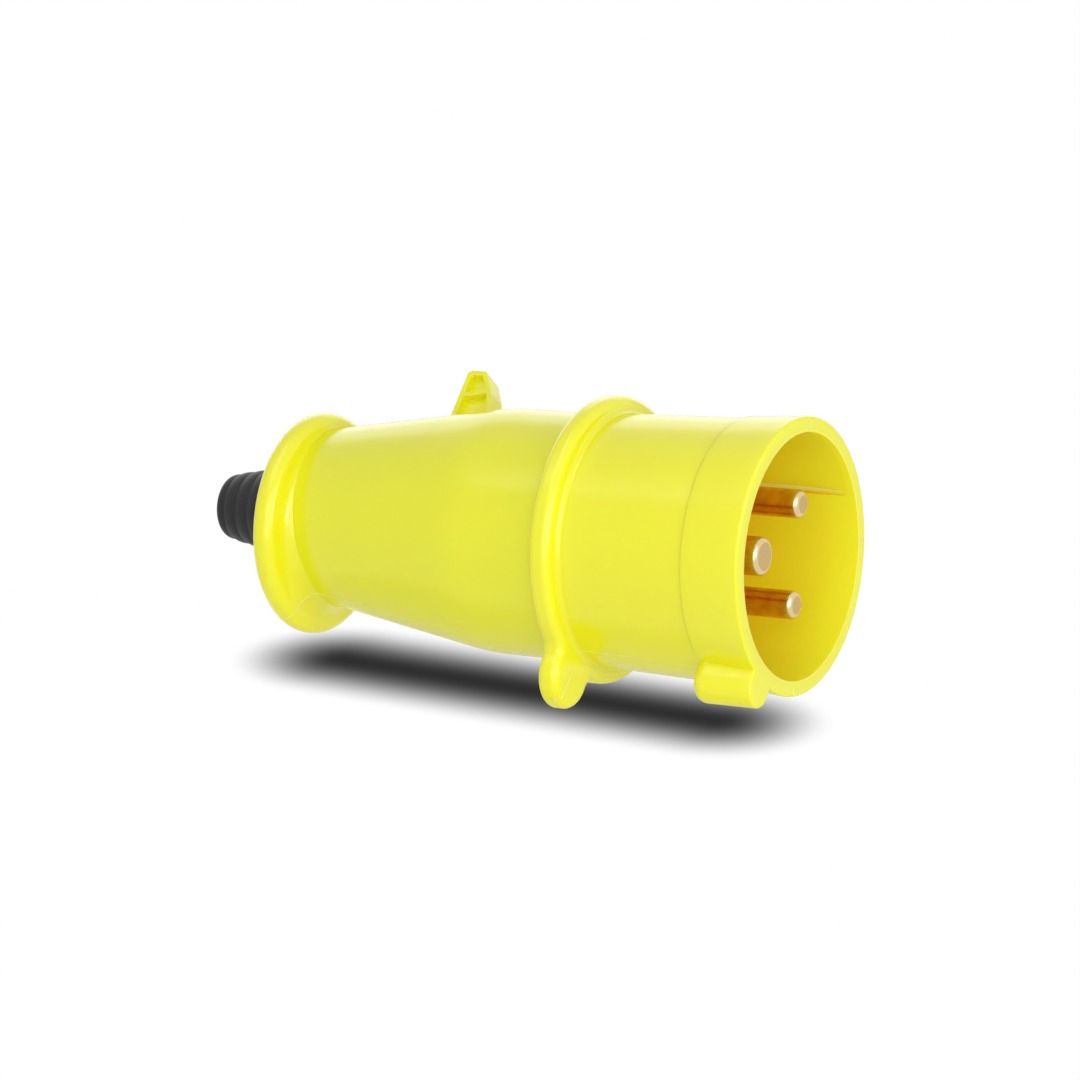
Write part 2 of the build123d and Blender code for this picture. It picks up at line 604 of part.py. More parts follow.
# Clamp frame: a plate behind the carrier, two legs and the lower jaw between them
with BuildPart() as clamp_frame:
    with BuildSketch(section(FRAME_BACK)):
        Circle(FRAME_PLATE_RADIUS)
        Circle(FRAME_SCREW_RADIUS + SCREW_CLEARANCE, mode=Mode.SUBTRACT)
        for angle, radius in PIN_PLACES:
            with PolarLocations(PIN_CIRCLE, 1, angle):
                Circle(radius + TERMINAL_RIM + SCREW_CLEARANCE, mode=Mode.SUBTRACT)
        for angle in HOUSING_SCREW_ANGLES:
            with PolarLocations(HOUSING_SCREW_CIRCLE, 1, angle):
                Circle(HOUSING_SCREW_RADIUS + SCREW_CLEARANCE, mode=Mode.SUBTRACT)
    extrude(amount=FRAME_PLATE)
    with BuildSketch(section(JAW_END)):
        with GridLocations(0, 2 * leg_middle, 1, 2):
            Rectangle(LEG_WIDTH, LEG_THICKNESS)
    extrude(amount=JAW_END - FRAME_BACK)
    with BuildSketch(section(JAW_END)):
        with Locations(((JAW_GAP + JAW_DEPTH) / 2, 0)):
            Rectangle(JAW_DEPTH, 2 * leg_middle)
        Circle(JAW_BORE, mode=Mode.SUBTRACT)
    extrude(amount=JAW_LENGTH)
    with BuildSketch(facing_out(0, JAW_BACK, JAW_MIDDLE)):
        with GridLocations(0, 2 * clamp_screw_spread, 1, 2):
            Circle(CLAMP_SCREW_RADIUS + SCREW_CLEARANCE)
    extrude(amount=-JAW_DEPTH, mode=Mode.SUBTRACT)
clamp_frame.part.label = "clamp_frame"
export_step(clamp_frame.part, "parts/clamp_frame.step")

# Clamp saddle: the upper jaw, drawn down on the cable by two screws
with BuildPart() as clamp_saddle:
    with BuildSketch(section(JAW_END)):
        with Locations((-(JAW_GAP + JAW_DEPTH) / 2, 0)):
            Rectangle(JAW_DEPTH, 2 * (leg_inside - SADDLE_CLEARANCE))
        Circle(JAW_BORE, mode=Mode.SUBTRACT)
    extrude(amount=JAW_LENGTH)
    with BuildSketch(facing_out(LUG_ANGLE, JAW_BACK, JAW_MIDDLE)):
        with GridLocations(0, 2 * clamp_screw_spread, 1, 2):
            Circle(CLAMP_SCREW_RADIUS + SCREW_CLEARANCE)
    extrude(amount=-JAW_DEPTH, mode=Mode.SUBTRACT)
clamp_saddle.part.label = "clamp_saddle"
export_step(clamp_saddle.part, "parts/clamp_saddle.step")

# Clamp screws through both jaws, each with a nut under the lower one
for number, side in enumerate((-1, 1), start=1):
    screw(
        f"clamp_screw_{number}",
        facing_out(LUG_ANGLE, JAW_BACK, JAW_MIDDLE),
        (0, side * clamp_screw_spread),
        CLAMP_SCREW_RADIUS,
        2 * JAW_BACK + NUT_THICKNESS + CLAMP_SCREW_END,
    )
    with BuildPart() as nut:
        with BuildSketch(facing_out(0, JAW_BACK, JAW_MIDDLE)):
            with Locations((0, -side * clamp_screw_spread)):
                RegularPolygon(NUT_FLATS / 2, 6, major_radius=False)
                Circle(CLAMP_SCREW_RADIUS + SCREW_CLEARANCE, mode=Mode.SUBTRACT)
        extrude(amount=NUT_THICKNESS)
    nut.part.label = f"clamp_nut_{number}"
    export_step(nut.part, f"parts/clamp_nut_{number}.step")


# Body seal: rubber ring in the groove of the spigot
with BuildPart() as body_seal:
    with BuildSketch(SIDE):
        with Locations((SEAL_PLACE, SEAL_FLOOR + SEAL_CLEARANCE + SEAL_THICKNESS / 2)):
            Circle(SEAL_THICKNESS / 2)
    revolve(axis=PLUG_AXIS)
body_seal.part.label = "body_seal"
export_step(body_seal.part, "parts/body_seal.step")


# Cable boot: inner flange, neck through the end wall and a tail that tapers in rings,
# each a little wider at its end than the next one at its start
ring_length = BOOT_TAIL_LENGTH / BOOT_RINGS
tail_rings = []
for ring in range(BOOT_RINGS):
    ring_start = REAR_FACE + ring * ring_length
    ring_end = ring_start + ring_length
    tail_rings.append((ring_start, boot_radius(ring_start)))
    tail_rings.append((ring_end, boot_radius(ring_end) + BOOT_RING_STEP))

with BuildPart() as cable_boot:
    with BuildSketch(SIDE):
        with BuildLine():
            Polyline(
                (BOOT_FLANGE_FRONT, BOOT_BORE),
                (BOOT_FLANGE_FRONT, cavity_radius(CAVITY_END) - BOOT_CLEARANCE),
                (CAVITY_END, cavity_radius(CAVITY_END) - BOOT_CLEARANCE),
                (CAVITY_END, BOOT_NECK_RADIUS),
                (REAR_FACE, BOOT_NECK_RADIUS),
                *tail_rings,
                (BOOT_END, BOOT_BORE),
                close=True,
            )
        make_face()
    revolve(axis=PLUG_AXIS)
    fillet(cable_boot.edges().group_by(PLUG_AXIS)[0].sort_by(SortBy.LENGTH)[-1], BOOT_END_ROUND)
cable_boot.part.label = "cable_boot"
export_step(cable_boot.part, "parts/cable_boot.step")

# Boot ring: wedged into the cone in front of the boot's flange
with BuildPart() as boot_ring:
    with BuildSketch(SIDE):
        with BuildLine():
            Polyline(
                (BOOT_RING_FRONT, BOOT_NECK_RADIUS),
                (BOOT_RING_FRONT, cavity_radius(BOOT_RING_FRONT) - BOOT_CLEARANCE),
                (BOOT_FLANGE_FRONT, cavity_radius(BOOT_FLANGE_FRONT) - BOOT_CLEARANCE),
                (BOOT_FLANGE_FRONT, BOOT_NECK_RADIUS),
                close=True,
            )
        make_face()
    revolve(axis=PLUG_AXIS)
boot_ring.part.label = "boot_ring"
export_step(boot_ring.part, "parts/boot_ring.step")
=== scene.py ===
"""Industrial plug with three pins, lying on a pale studio floor."""

import json
from math import cos, pi, radians, sin

import bmesh
import bpy
from bpy.props import FloatProperty, FloatVectorProperty, PointerProperty
from mathutils import Matrix, Vector
from mathutils.bvhtree import BVHTree


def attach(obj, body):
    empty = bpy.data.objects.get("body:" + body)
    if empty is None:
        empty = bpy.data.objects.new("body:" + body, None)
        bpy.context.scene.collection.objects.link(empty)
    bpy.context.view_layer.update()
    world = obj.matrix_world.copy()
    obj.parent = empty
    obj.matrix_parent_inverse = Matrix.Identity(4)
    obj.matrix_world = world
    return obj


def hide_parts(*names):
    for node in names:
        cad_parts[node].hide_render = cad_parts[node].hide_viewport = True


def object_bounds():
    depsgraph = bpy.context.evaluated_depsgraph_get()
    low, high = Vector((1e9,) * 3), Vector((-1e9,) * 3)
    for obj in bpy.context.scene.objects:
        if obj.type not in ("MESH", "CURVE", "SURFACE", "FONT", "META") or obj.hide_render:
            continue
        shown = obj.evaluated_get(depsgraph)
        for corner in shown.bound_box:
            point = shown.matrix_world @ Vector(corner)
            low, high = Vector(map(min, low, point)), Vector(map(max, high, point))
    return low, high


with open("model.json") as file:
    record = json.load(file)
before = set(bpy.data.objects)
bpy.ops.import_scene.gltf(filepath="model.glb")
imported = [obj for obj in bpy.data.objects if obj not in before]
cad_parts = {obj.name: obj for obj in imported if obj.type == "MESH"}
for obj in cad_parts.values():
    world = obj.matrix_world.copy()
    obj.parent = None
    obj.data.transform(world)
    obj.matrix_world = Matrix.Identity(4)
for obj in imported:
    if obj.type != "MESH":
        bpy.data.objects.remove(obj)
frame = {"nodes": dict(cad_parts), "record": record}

bl_info = {
    "name": "Industrial Plug",
    "version": (1, 0, 0),
    "blender": (4, 5, 0),
    "location": "3D View > Sidebar > Plug",
    "description": "Dresses a moulded industrial plug with its finishes and lights it",
    "category": "Add Mesh",
}

YELLOW_NODES = ("front_shroud", "rear_body", "pin_carrier")
DARK_NODES = ("clamp_frame", "clamp_saddle", "boot_ring")
RUBBER_NODES = ("cable_boot", "body_seal")
PIN_NODES = ("earth_pin", "live_pin_1", "live_pin_2")
SCREW_NODES = (
    "clamp_screw_1",
    "clamp_screw_2",
    "clamp_nut_1",
    "clamp_nut_2",
    "frame_screw",
    "housing_screw_1",
    "housing_screw_2",
    "earth_terminal_screw",
    "live_terminal_screw_1",
    "live_terminal_screw_2",
)

# Frame of the plug: the axis out of its mouth, the way to the key and the way across both

CAD_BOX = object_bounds()
FLOOR_HEIGHT = CAD_BOX[0][2]
MOUNTS = {mount["name"]: mount for mount in frame["record"]["mounts"]}
OUTWARDS = Vector(MOUNTS["mouth"]["axis"]).normalized()
PIN_CENTRES = {name: Vector(MOUNTS[name]["pos_m"]) for name in PIN_NODES}
ACROSS = PIN_CENTRES["live_pin_2"] - OUTWARDS * PIN_CENTRES["live_pin_2"].dot(OUTWARDS)
TO_KEY = -ACROSS.normalized()
SIDEWAYS = OUTWARDS.cross(TO_KEY)

# Places on the housing, in metres from the mouth and from the axis

# Inside these bounds the housing's tone is painted lighter, standing in for light, and orange where
# ambient occlusion finds the recess deep, standing in for shade
RECESS_REACH = 0.0262  # just past the wall of the recess
RECESS_DEPTH = 0.043  # just past the floor of the recess
COLLAR_REACH = 0.0288

# Lines on the housing: distances from the mouth and from the axis, in millimetres

SLEEVE_RUN = ((30.0, 27.1), (38.0, 26.9), (41.8, 26.8), (42.9, 27.9))
EAR_RUN = ((43.0, 31.0), (43.0, 37.4), (44.0, 38.9), (46.2, 39.2))
REAR_RUN = ((96, 21.3), (108, 19.9), (111, 20.2), (113.8, 23), (115, 25.5), (116.2, 26.1))
RIM_RUN = ((0.0, 26.2), (0.0, 28.5))
RELIEF_RUN = ((1.4, 26.0), (33.0, 26.0))

# Angles of the lines, in degrees from the key

PARTING_ANGLE = -2.0
RIM_MARK_ANGLES = (-150.3, -179.6, 29.5, 126.0)
RELIEF_ANGLES = (150.3, -150.3)
COLLAR_ANGLES = range(13, 348, 2)  # the key takes up the rest

# Raised lines, in metres and shares

LINE_STEP = 0.0004  # length of one stretch of a line
LINE_SINK = 0.00004  # depth of their feet in the surface
LINE_SECTION = ((-0.5, False), (-0.2, True), (0.2, True), (0.5, False))  # width share, raised
LINE_THINNEST = 0.05  # share of its width that a slender line keeps at its ends
LINE_END_SLOPE = 10.0  # steepness with which a line rises from its ends
COLLAR_WIDTH_SHARE = 0.8
COLLAR_HEIGHT_SHARE = 0.3
# Strips along the relief's edges, which paint a highlight there
RELIEF_WIDTH = 0.0013
RELIEF_HEIGHT = 0.0001

# Boot, in metres

END_WALL = 0.0065  # thickness of the wall between the boot's flange and its tail
NECK_RADIUS = 0.0084
ROUNDED_END = 0.0026  # length of the rounding at the end of the tail
BORE_LIP = 0.0003  # chamfer from that rounding to the bore
HAIR = 0.0001  # a step too small to see
RING_FULLNESS = 0.6  # power of the swell of a ring, fuller when it is lower
END_SWELL = 0.6  # swell of the rounded end, as a share of a ring's
END_FULLNESS = 0.8  # the same power, for the curve from the rings to the bore
BOOT_SEGMENTS = 112
TAIL_STEPS = 56
END_STEPS = 12

# Shares of a tone, and what scuffs add to a roughness

SPECK_SHADE = 0.35
# Darker share that paints the shadow in the gap round the collar
SEAM_SHADE = 0.8
RUBBER_DRIFT = 1.25
BRASS_DRIFT = (0.85, 0.75, 0.6)
SCUFFED_PLASTIC = 0.25
SCUFFED_METAL = 0.22

# Floor and lamps, in metres and watts

FLOOR_SPAN = 6.0
FLOOR_PAINT = 0.9
FLOOR_MIRRORED = 0.6  # lowest tone in which the plug mirrors the floor
TABLE_SHARE = 0.7  # share of the floor's light that comes from the lit table
SCREEN_GAMMA = 2.2
BODY_MIDDLE = OUTWARDS * -0.06
MOUTH = Vector()
LAMPS = (
    # Name, size, power, direction and distance of the lamp from its target, and the target
    ("Overhead", (1.0, 1.0), 3.2, (-0.15, -0.35, 1.0), 1.2, BODY_MIDDLE),
    ("Front", (1.2, 1.2), 7.9, (0.48, -0.83, 0.25), 1.3, BODY_MIDDLE),
    ("Back", (2.0, 1.0), 5.0, (-0.5, 0.83, 0.2), 1.3, BODY_MIDDLE),
    ("Window", (0.14, 0.3), 0.9, (0.92, -0.26, 0.25), 1.0, BODY_MIDDLE),
    ("Fill", (0.2, 0.2), 0.19, (0.85, -0.3, 0.42), 0.3, MOUTH),
)

# Sockets of a Mix node for colours, which share their names with its other sockets

COLOUR_A = 6
COLOUR_B = 7
COLOUR_RESULT = 2


# Places and shapes


def place_at(distance, radius, angle):
    """Gives the point behind the mouth, off the axis and turned from the key, in metres."""
    away = TO_KEY * cos(angle) + SIDEWAYS * sin(angle)
    return OUTWARDS * -distance + away * radius


def guide_at(run, degrees):
    """Gives the guide points of a run in millimetres, turned from the key."""
    turn = radians(degrees)
    return [place_at(distance / 1000, radius / 1000, turn) for distance, radius in run]


def finished_piece(name, form, material):
    """Turns a bmesh into a smooth piece of the plug that rides with it."""
    bmesh.ops.recalc_face_normals(form, faces=form.faces)
    mesh = bpy.data.meshes.new(name)
    form.to_mesh(mesh)
    form.free()
    mesh.materials.append(material)
    mesh.polygons.foreach_set("use_smooth", [True] * len(mesh.polygons))
    piece = bpy.data.objects.new(name, mesh)
    bpy.context.scene.collection.objects.link(piece)
    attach(piece, "root")
    return piece


def turned_form(profile, segments):
    """Turns a closed profile of distances and radii round the axis of the plug."""
    form = bmesh.new()
    rings = []
    for distance, radius in profile:
        rings.append(
            [
                form.verts.new(place_at(distance, radius, 2 * pi * step / segments))
                for step in range(segments)
            ]
        )
    for ring, following in zip(rings, rings[1:] + rings[:1]):
        for step in range(segments):
            ahead = (step + 1) % segments
            form.faces.new((ring[step], ring[ahead], following[ahead], following[step]))
    return form


def evenly_divided(guide, pitch):
    """Divides the runs between guide points into steps of about one pitch."""
    spots = [guide[0]]
    for start, end in zip(guide, guide[1:]):
        count = max(1, round((end - start).length / pitch))
        spots += [start.lerp(end, step / count) for step in range(1, count + 1)]
    return spots


def raised_lines(carrier, guides, width, height, slender=False):
    """Lays fine raised lines on the surface of a node, slender ones narrowing to their ends."""
    mesh = frame["nodes"][carrier].data
    skin = BVHTree.FromPolygons(
        [vertex.co for vertex in mesh.vertices], [face.vertices for face in mesh.polygons]
    )
    form = bmesh.new()
    for guide in guides:
        spots = evenly_divided(guide, LINE_STEP)
        rows = []
        for index, spot in enumerate(spots):
            place, normal, _, _ = skin.find_nearest(spot)
            run = spots[min(index + 1, len(spots) - 1)] - spots[max(index - 1, 0)]
            swell = sin(pi * index / (len(spots) - 1))
            share = swell**0.5 if slender else 1.0
            aside = run.cross(normal).normalized() * width * max(share, LINE_THINNEST)
            rise = height * min(1.0, LINE_END_SLOPE * swell) * share
            row = []
            for across, raised in LINE_SECTION:
                lift = rise if raised else -LINE_SINK
                row.append(form.verts.new(place + aside * across + normal * lift))
            rows.append(row)
        for row, following in zip(rows, rows[1:]):
            for step in range(len(LINE_SECTION) - 1):
                form.faces.new((row[step], row[step + 1], following[step + 1], following[step]))
    return form


# Node helpers


def link(tree, source, target):
    """Joins an output socket to an input socket."""
    tree.links.new(source, target)


def add_node(tree, kind, at=(0, 0), **inputs):
    """Adds a node and sets its inputs by name, with spaces written as underscores."""
    node = tree.nodes.new(kind)
    node.location = at
    for name, value in inputs.items():
        node.inputs[name.replace("_", " ")].default_value = value
    return node


def add_math(tree, operation, at, second=None):
    """Adds a Math node, with its second number set where it is given."""
    node = add_node(tree, "ShaderNodeMath", at)
    node.operation = operation
    if second is not None:
        node.inputs[1].default_value = second
    return node


def add_vector_math(tree, operation, at):
    """Adds a Vector Math node."""
    node = add_node(tree, "ShaderNodeVectorMath", at)
    node.operation = operation
    return node


def add_colour_mix(tree, at, second=None):
    """Adds a Mix node for colours, with its second colour set where it is given."""
    node = add_node(tree, "ShaderNodeMix", at)
    node.data_type = "RGBA"
    if second is not None:
        node.inputs[COLOUR_B].default_value = second
    return node


def blank_group(name, inputs, outputs):
    """Starts a shader node group with named sockets and the values of its inputs."""
    tree = bpy.data.node_groups.new(name, "ShaderNodeTree")
    for label, kind, value in inputs:
        socket = tree.interface.new_socket(label, in_out="INPUT", socket_type=kind)
        socket.default_value = value
    for label, kind in outputs:
        tree.interface.new_socket(label, in_out="OUTPUT", socket_type=kind)
    entry = add_node(tree, "NodeGroupInput", (-900, 0))
    leave = add_node(tree, "NodeGroupOutput", (700, 0))
    return tree, entry, leave


def place_group(tree, name, at, **inputs):
    """Places a node group in a material, with its own values."""
    node = tree.nodes.new("ShaderNodeGroup")
    node.node_tree = bpy.data.node_groups[name]
    node.location = at
    for label, value in inputs.items():
        node.inputs[label.replace("_", " ")].default_value = value
    return node


def blank_tree(owner):
    """Empties the node tree of a new material or world."""
    owner.use_nodes = True
    owner.node_tree.nodes.clear()
    return owner.node_tree


def blank_material(name):
    """Starts a material that holds a Principled shader and its output."""
    material = bpy.data.materials.new(name)
    tree = blank_tree(material)
    shader = add_node(tree, "ShaderNodeBsdfPrincipled", (500, 0))
    output = add_node(tree, "ShaderNodeOutputMaterial", (800, 0))
    link(tree, shader.outputs["BSDF"], output.inputs["Surface"])
    return material, tree, shader


# Shared surface effects


def build_moulding_grain():
    """Fine texture of a moulded surface over its slight waviness."""
    tree, entry, leave = blank_group(
        "Moulding Grain",
        [
            ("Grain Size", "NodeSocketFloat", 3000.0),
            ("Wave Size", "NodeSocketFloat", 60.0),
            ("Wave Share", "NodeSocketFloat", 0.5),
        ],
        [("Height", "NodeSocketFloat")],
    )
    place = add_node(tree, "ShaderNodeTexCoord", (-900, -300))
    grain = add_node(tree, "ShaderNodeTexNoise", (-500, 100), Detail=3.0, Roughness=0.6)
    wave = add_node(tree, "ShaderNodeTexNoise", (-500, -200), Detail=1.0, Roughness=0.4)
    mix = add_node(tree, "ShaderNodeMix", (0, 0))
    link(tree, place.outputs["Object"], grain.inputs["Vector"])
    link(tree, place.outputs["Object"], wave.inputs["Vector"])
    link(tree, entry.outputs["Grain Size"], grain.inputs["Scale"])
    link(tree, entry.outputs["Wave Size"], wave.inputs["Scale"])
    link(tree, entry.outputs["Wave Share"], mix.inputs["Factor"])
    link(tree, grain.outputs["Fac"], mix.inputs["A"])
    link(tree, wave.outputs["Fac"], mix.inputs["B"])
    link(tree, mix.outputs["Result"], leave.inputs["Height"])


def build_handling_marks():
    """Faint scuffs in long strokes and a few dark specks."""
    tree, entry, leave = blank_group(
        "Handling Marks",
        [
            ("Scuff Size", "NodeSocketFloat", 90.0),
            ("Scuff Amount", "NodeSocketFloat", 0.4),
            ("Speck Size", "NodeSocketFloat", 120.0),
            ("Speck Amount", "NodeSocketFloat", 0.03),
            ("Speck Radius", "NodeSocketFloat", 0.07),
        ],
        [("Scuffs", "NodeSocketFloat"), ("Specks", "NodeSocketFloat")],
    )
    place = add_node(tree, "ShaderNodeTexCoord", (-900, -300))
    add_scuffs(tree, place.outputs["Object"], entry, leave)
    add_specks(tree, place.outputs["Object"], entry, leave)


def add_scuffs(tree, place, entry, leave):
    """Long strokes of noise, kept only in patches."""
    stretch = add_node(tree, "ShaderNodeMapping", (-700, 100), Scale=(1.0, 9.0, 9.0))
    scuff = add_node(tree, "ShaderNodeTexNoise", (-500, 100), Detail=6.0, Roughness=0.75)
    patch = add_node(tree, "ShaderNodeTexNoise", (-500, -150), Scale=35.0, Detail=2.0)
    scuff_edge = add_node(tree, "ShaderNodeMapRange", (-250, 100), From_Min=0.56, From_Max=0.72)
    patch_edge = add_node(tree, "ShaderNodeMapRange", (-250, -150), From_Min=0.45, From_Max=0.7)
    both = add_math(tree, "MULTIPLY", (0, 0))
    amount = add_math(tree, "MULTIPLY", (200, 0))
    link(tree, place, stretch.inputs["Vector"])
    link(tree, stretch.outputs["Vector"], scuff.inputs["Vector"])
    link(tree, entry.outputs["Scuff Size"], scuff.inputs["Scale"])
    link(tree, place, patch.inputs["Vector"])
    link(tree, scuff.outputs["Fac"], scuff_edge.inputs["Value"])
    link(tree, patch.outputs["Fac"], patch_edge.inputs["Value"])
    link(tree, scuff_edge.outputs["Result"], both.inputs[0])
    link(tree, patch_edge.outputs["Result"], both.inputs[1])
    link(tree, both.outputs[0], amount.inputs[0])
    link(tree, entry.outputs["Scuff Amount"], amount.inputs[1])
    link(tree, amount.outputs[0], leave.inputs["Scuffs"])


def add_specks(tree, place, entry, leave):
    """Small round specks in a few cells that are chosen at random."""
    cells = add_node(tree, "ShaderNodeTexVoronoi", (-500, -450))
    near = add_math(tree, "LESS_THAN", (-250, -450))
    chance = add_node(tree, "ShaderNodeTexWhiteNoise", (-250, -650))
    chosen = add_math(tree, "LESS_THAN", (0, -650))
    speck = add_math(tree, "MULTIPLY", (200, -450))
    link(tree, place, cells.inputs["Vector"])
    link(tree, entry.outputs["Speck Size"], cells.inputs["Scale"])
    link(tree, cells.outputs["Distance"], near.inputs[0])
    link(tree, entry.outputs["Speck Radius"], near.inputs[1])
    link(tree, cells.outputs["Color"], chance.inputs["Vector"])
    link(tree, chance.outputs["Value"], chosen.inputs[0])
    link(tree, entry.outputs["Speck Amount"], chosen.inputs[1])
    link(tree, near.outputs[0], speck.inputs[0])
    link(tree, chosen.outputs[0], speck.inputs[1])
    link(tree, speck.outputs[0], leave.inputs["Specks"])


def build_tone_drift():
    """Slow drift between two close tones."""
    tree, entry, leave = blank_group(
        "Tone Drift",
        [
            ("First Tone", "NodeSocketColor", (0.8, 0.8, 0.1, 1.0)),
            ("Second Tone", "NodeSocketColor", (0.7, 0.7, 0.1, 1.0)),
            ("Size", "NodeSocketFloat", 40.0),
        ],
        [("Color", "NodeSocketColor")],
    )
    place = add_node(tree, "ShaderNodeTexCoord", (-900, -300))
    noise = add_node(tree, "ShaderNodeTexNoise", (-500, 0), Detail=2.0, Roughness=0.5)
    spread = add_node(tree, "ShaderNodeMapRange", (-250, 0), From_Min=0.35, From_Max=0.65)
    mix = add_colour_mix(tree, (100, 0))
    link(tree, place.outputs["Object"], noise.inputs["Vector"])
    link(tree, entry.outputs["Size"], noise.inputs["Scale"])
    link(tree, noise.outputs["Fac"], spread.inputs["Value"])
    link(tree, spread.outputs["Result"], mix.inputs["Factor"])
    link(tree, entry.outputs["First Tone"], mix.inputs[COLOUR_A])
    link(tree, entry.outputs["Second Tone"], mix.inputs[COLOUR_B])
    link(tree, mix.outputs[COLOUR_RESULT], leave.inputs["Color"])


def build_axis_place():
    """Distance along the axis of the plug and off it, counted from a centre."""
    tree, entry, leave = blank_group(
        "Axis Place",
        [("Centre", "NodeSocketVector", (0.0, 0.0, 0.0))],
        [("Along", "NodeSocketFloat"), ("Reach", "NodeSocketFloat")],
    )
    place = add_node(tree, "ShaderNodeTexCoord", (-900, -300))
    offset = add_vector_math(tree, "SUBTRACT", (-700, -100))
    along = add_vector_math(tree, "DOT_PRODUCT", (-500, -100))
    along.inputs[1].default_value = OUTWARDS
    drop = add_vector_math(tree, "SCALE", (-300, -100))
    drop.inputs[0].default_value = OUTWARDS
    radial = add_vector_math(tree, "SUBTRACT", (-100, -100))
    reach = add_vector_math(tree, "LENGTH", (100, -100))
    link(tree, place.outputs["Object"], offset.inputs[0])
    link(tree, entry.outputs["Centre"], offset.inputs[1])
    link(tree, offset.outputs["Vector"], along.inputs[0])
    link(tree, along.outputs["Value"], drop.inputs["Scale"])
    link(tree, offset.outputs["Vector"], radial.inputs[0])
    link(tree, drop.outputs["Vector"], radial.inputs[1])
    link(tree, radial.outputs["Vector"], reach.inputs[0])
    link(tree, along.outputs["Value"], leave.inputs["Along"])
    link(tree, reach.outputs["Value"], leave.inputs["Reach"])


def build_lathe_marks():
    """Rings and fine lines that turning leaves on metal."""
    tree, entry, leave = blank_group(
        "Lathe Marks",
        [
            ("Along", "NodeSocketFloat", 0.0),
            ("Reach", "NodeSocketFloat", 0.0),
            ("Ring Pitch", "NodeSocketFloat", 9000.0),
            ("Line Pitch", "NodeSocketFloat", 5000.0),
        ],
        [("Rings", "NodeSocketFloat"), ("Lines", "NodeSocketFloat")],
    )
    rings = add_node(tree, "ShaderNodeTexNoise", (-100, -100), Detail=2.0)
    rings.noise_dimensions = "1D"
    lines = add_node(tree, "ShaderNodeTexNoise", (-100, 200), Detail=3.0)
    lines.noise_dimensions = "1D"
    link(tree, entry.outputs["Reach"], rings.inputs["W"])
    link(tree, entry.outputs["Ring Pitch"], rings.inputs["Scale"])
    link(tree, entry.outputs["Along"], lines.inputs["W"])
    link(tree, entry.outputs["Line Pitch"], lines.inputs["Scale"])
    link(tree, rings.outputs["Fac"], leave.inputs["Rings"])
    link(tree, lines.outputs["Fac"], leave.inputs["Lines"])


def build_turned_tip():
    """Masks for the rounded edge of a turned pin, where wear and a painted highlight go, and for
    its end face.
    """
    tree, entry, leave = blank_group(
        "Turned Tip",
        [
            ("Along", "NodeSocketFloat", 0.0),
            ("Reach", "NodeSocketFloat", 0.0),
            ("Half Length", "NodeSocketFloat", 0.018),
            ("Radius", "NodeSocketFloat", 0.003),
        ],
        [("Edge", "NodeSocketFloat"), ("Face", "NodeSocketFloat")],
    )
    ahead = add_math(tree, "SUBTRACT", (-600, 200))
    aside = add_math(tree, "SUBTRACT", (-600, -100))
    near_end = add_node(tree, "ShaderNodeMapRange", (-300, 200), From_Min=-0.0007, From_Max=-0.0003)
    on_face = add_node(
        tree, "ShaderNodeMapRange", (-300, -100), From_Min=-0.0012, From_Max=-0.0009, To_Min=1.0
    )
    on_face.inputs["To Max"].default_value = 0.0
    face = add_math(tree, "MULTIPLY", (0, -100))
    edge = add_math(tree, "SUBTRACT", (200, 200))
    link(tree, entry.outputs["Along"], ahead.inputs[0])
    link(tree, entry.outputs["Half Length"], ahead.inputs[1])
    link(tree, entry.outputs["Reach"], aside.inputs[0])
    link(tree, entry.outputs["Radius"], aside.inputs[1])
    link(tree, ahead.outputs[0], near_end.inputs["Value"])
    link(tree, aside.outputs[0], on_face.inputs["Value"])
    link(tree, near_end.outputs["Result"], face.inputs[0])
    link(tree, on_face.outputs["Result"], face.inputs[1])
    link(tree, near_end.outputs["Result"], edge.inputs[0])
    link(tree, face.outputs[0], edge.inputs[1])
    link(tree, edge.outputs[0], leave.inputs["Edge"])
    link(tree, face.outputs[0], leave.inputs["Face"])


# Materials


def shaded(tone, *shares):
    """Scales a tone by one share, or its red, green and blue by their own."""
    shares = shares * 3 if len(shares) == 1 else shares
    return [part * share for part, share in zip(tone, shares)] + [1.0]


def painted_recess_light_and_shade(tree, tone, recess_light_tone, hollow_shade_tone):
    """Paints light into the recess as a lighter tone, and paints shade as a darker, orange tone
    where ambient occlusion finds the recess deep.
    """
    place = place_group(tree, "Axis Place", (-900, 700))
    within = add_math(tree, "LESS_THAN", (-700, 800), RECESS_REACH)
    ahead = add_math(tree, "GREATER_THAN", (-700, 650), -RECESS_DEPTH)
    inside = add_math(tree, "MULTIPLY", (-500, 700))
    # Ambient occlusion picks out the deep places where shade is painted
    hollow = add_node(tree, "ShaderNodeAmbientOcclusion", (-500, 500), Distance=0.07)
    hollow.samples = 8
    hollow.only_local = True
    depth = add_node(tree, "ShaderNodeMapRange", (-300, 500), From_Min=0.34, From_Max=0.08)
    deep = add_math(tree, "MULTIPLY", (-100, 600))
    lined = add_colour_mix(tree, (-100, 300), recess_light_tone)
    deepened = add_colour_mix(tree, (100, 300), hollow_shade_tone)
    link(tree, place.outputs["Reach"], within.inputs[0])
    link(tree, place.outputs["Along"], ahead.inputs[0])
    link(tree, within.outputs[0], inside.inputs[0])
    link(tree, ahead.outputs[0], inside.inputs[1])
    link(tree, hollow.outputs["AO"], depth.inputs["Value"])
    link(tree, depth.outputs["Result"], deep.inputs[0])
    link(tree, inside.outputs[0], deep.inputs[1])
    link(tree, inside.outputs[0], lined.inputs["Factor"])
    link(tree, tone, lined.inputs[COLOUR_A])
    link(tree, deep.outputs[0], deepened.inputs["Factor"])
    link(tree, lined.outputs[COLOUR_RESULT], deepened.inputs[COLOUR_A])
    return deepened.outputs[COLOUR_RESULT]


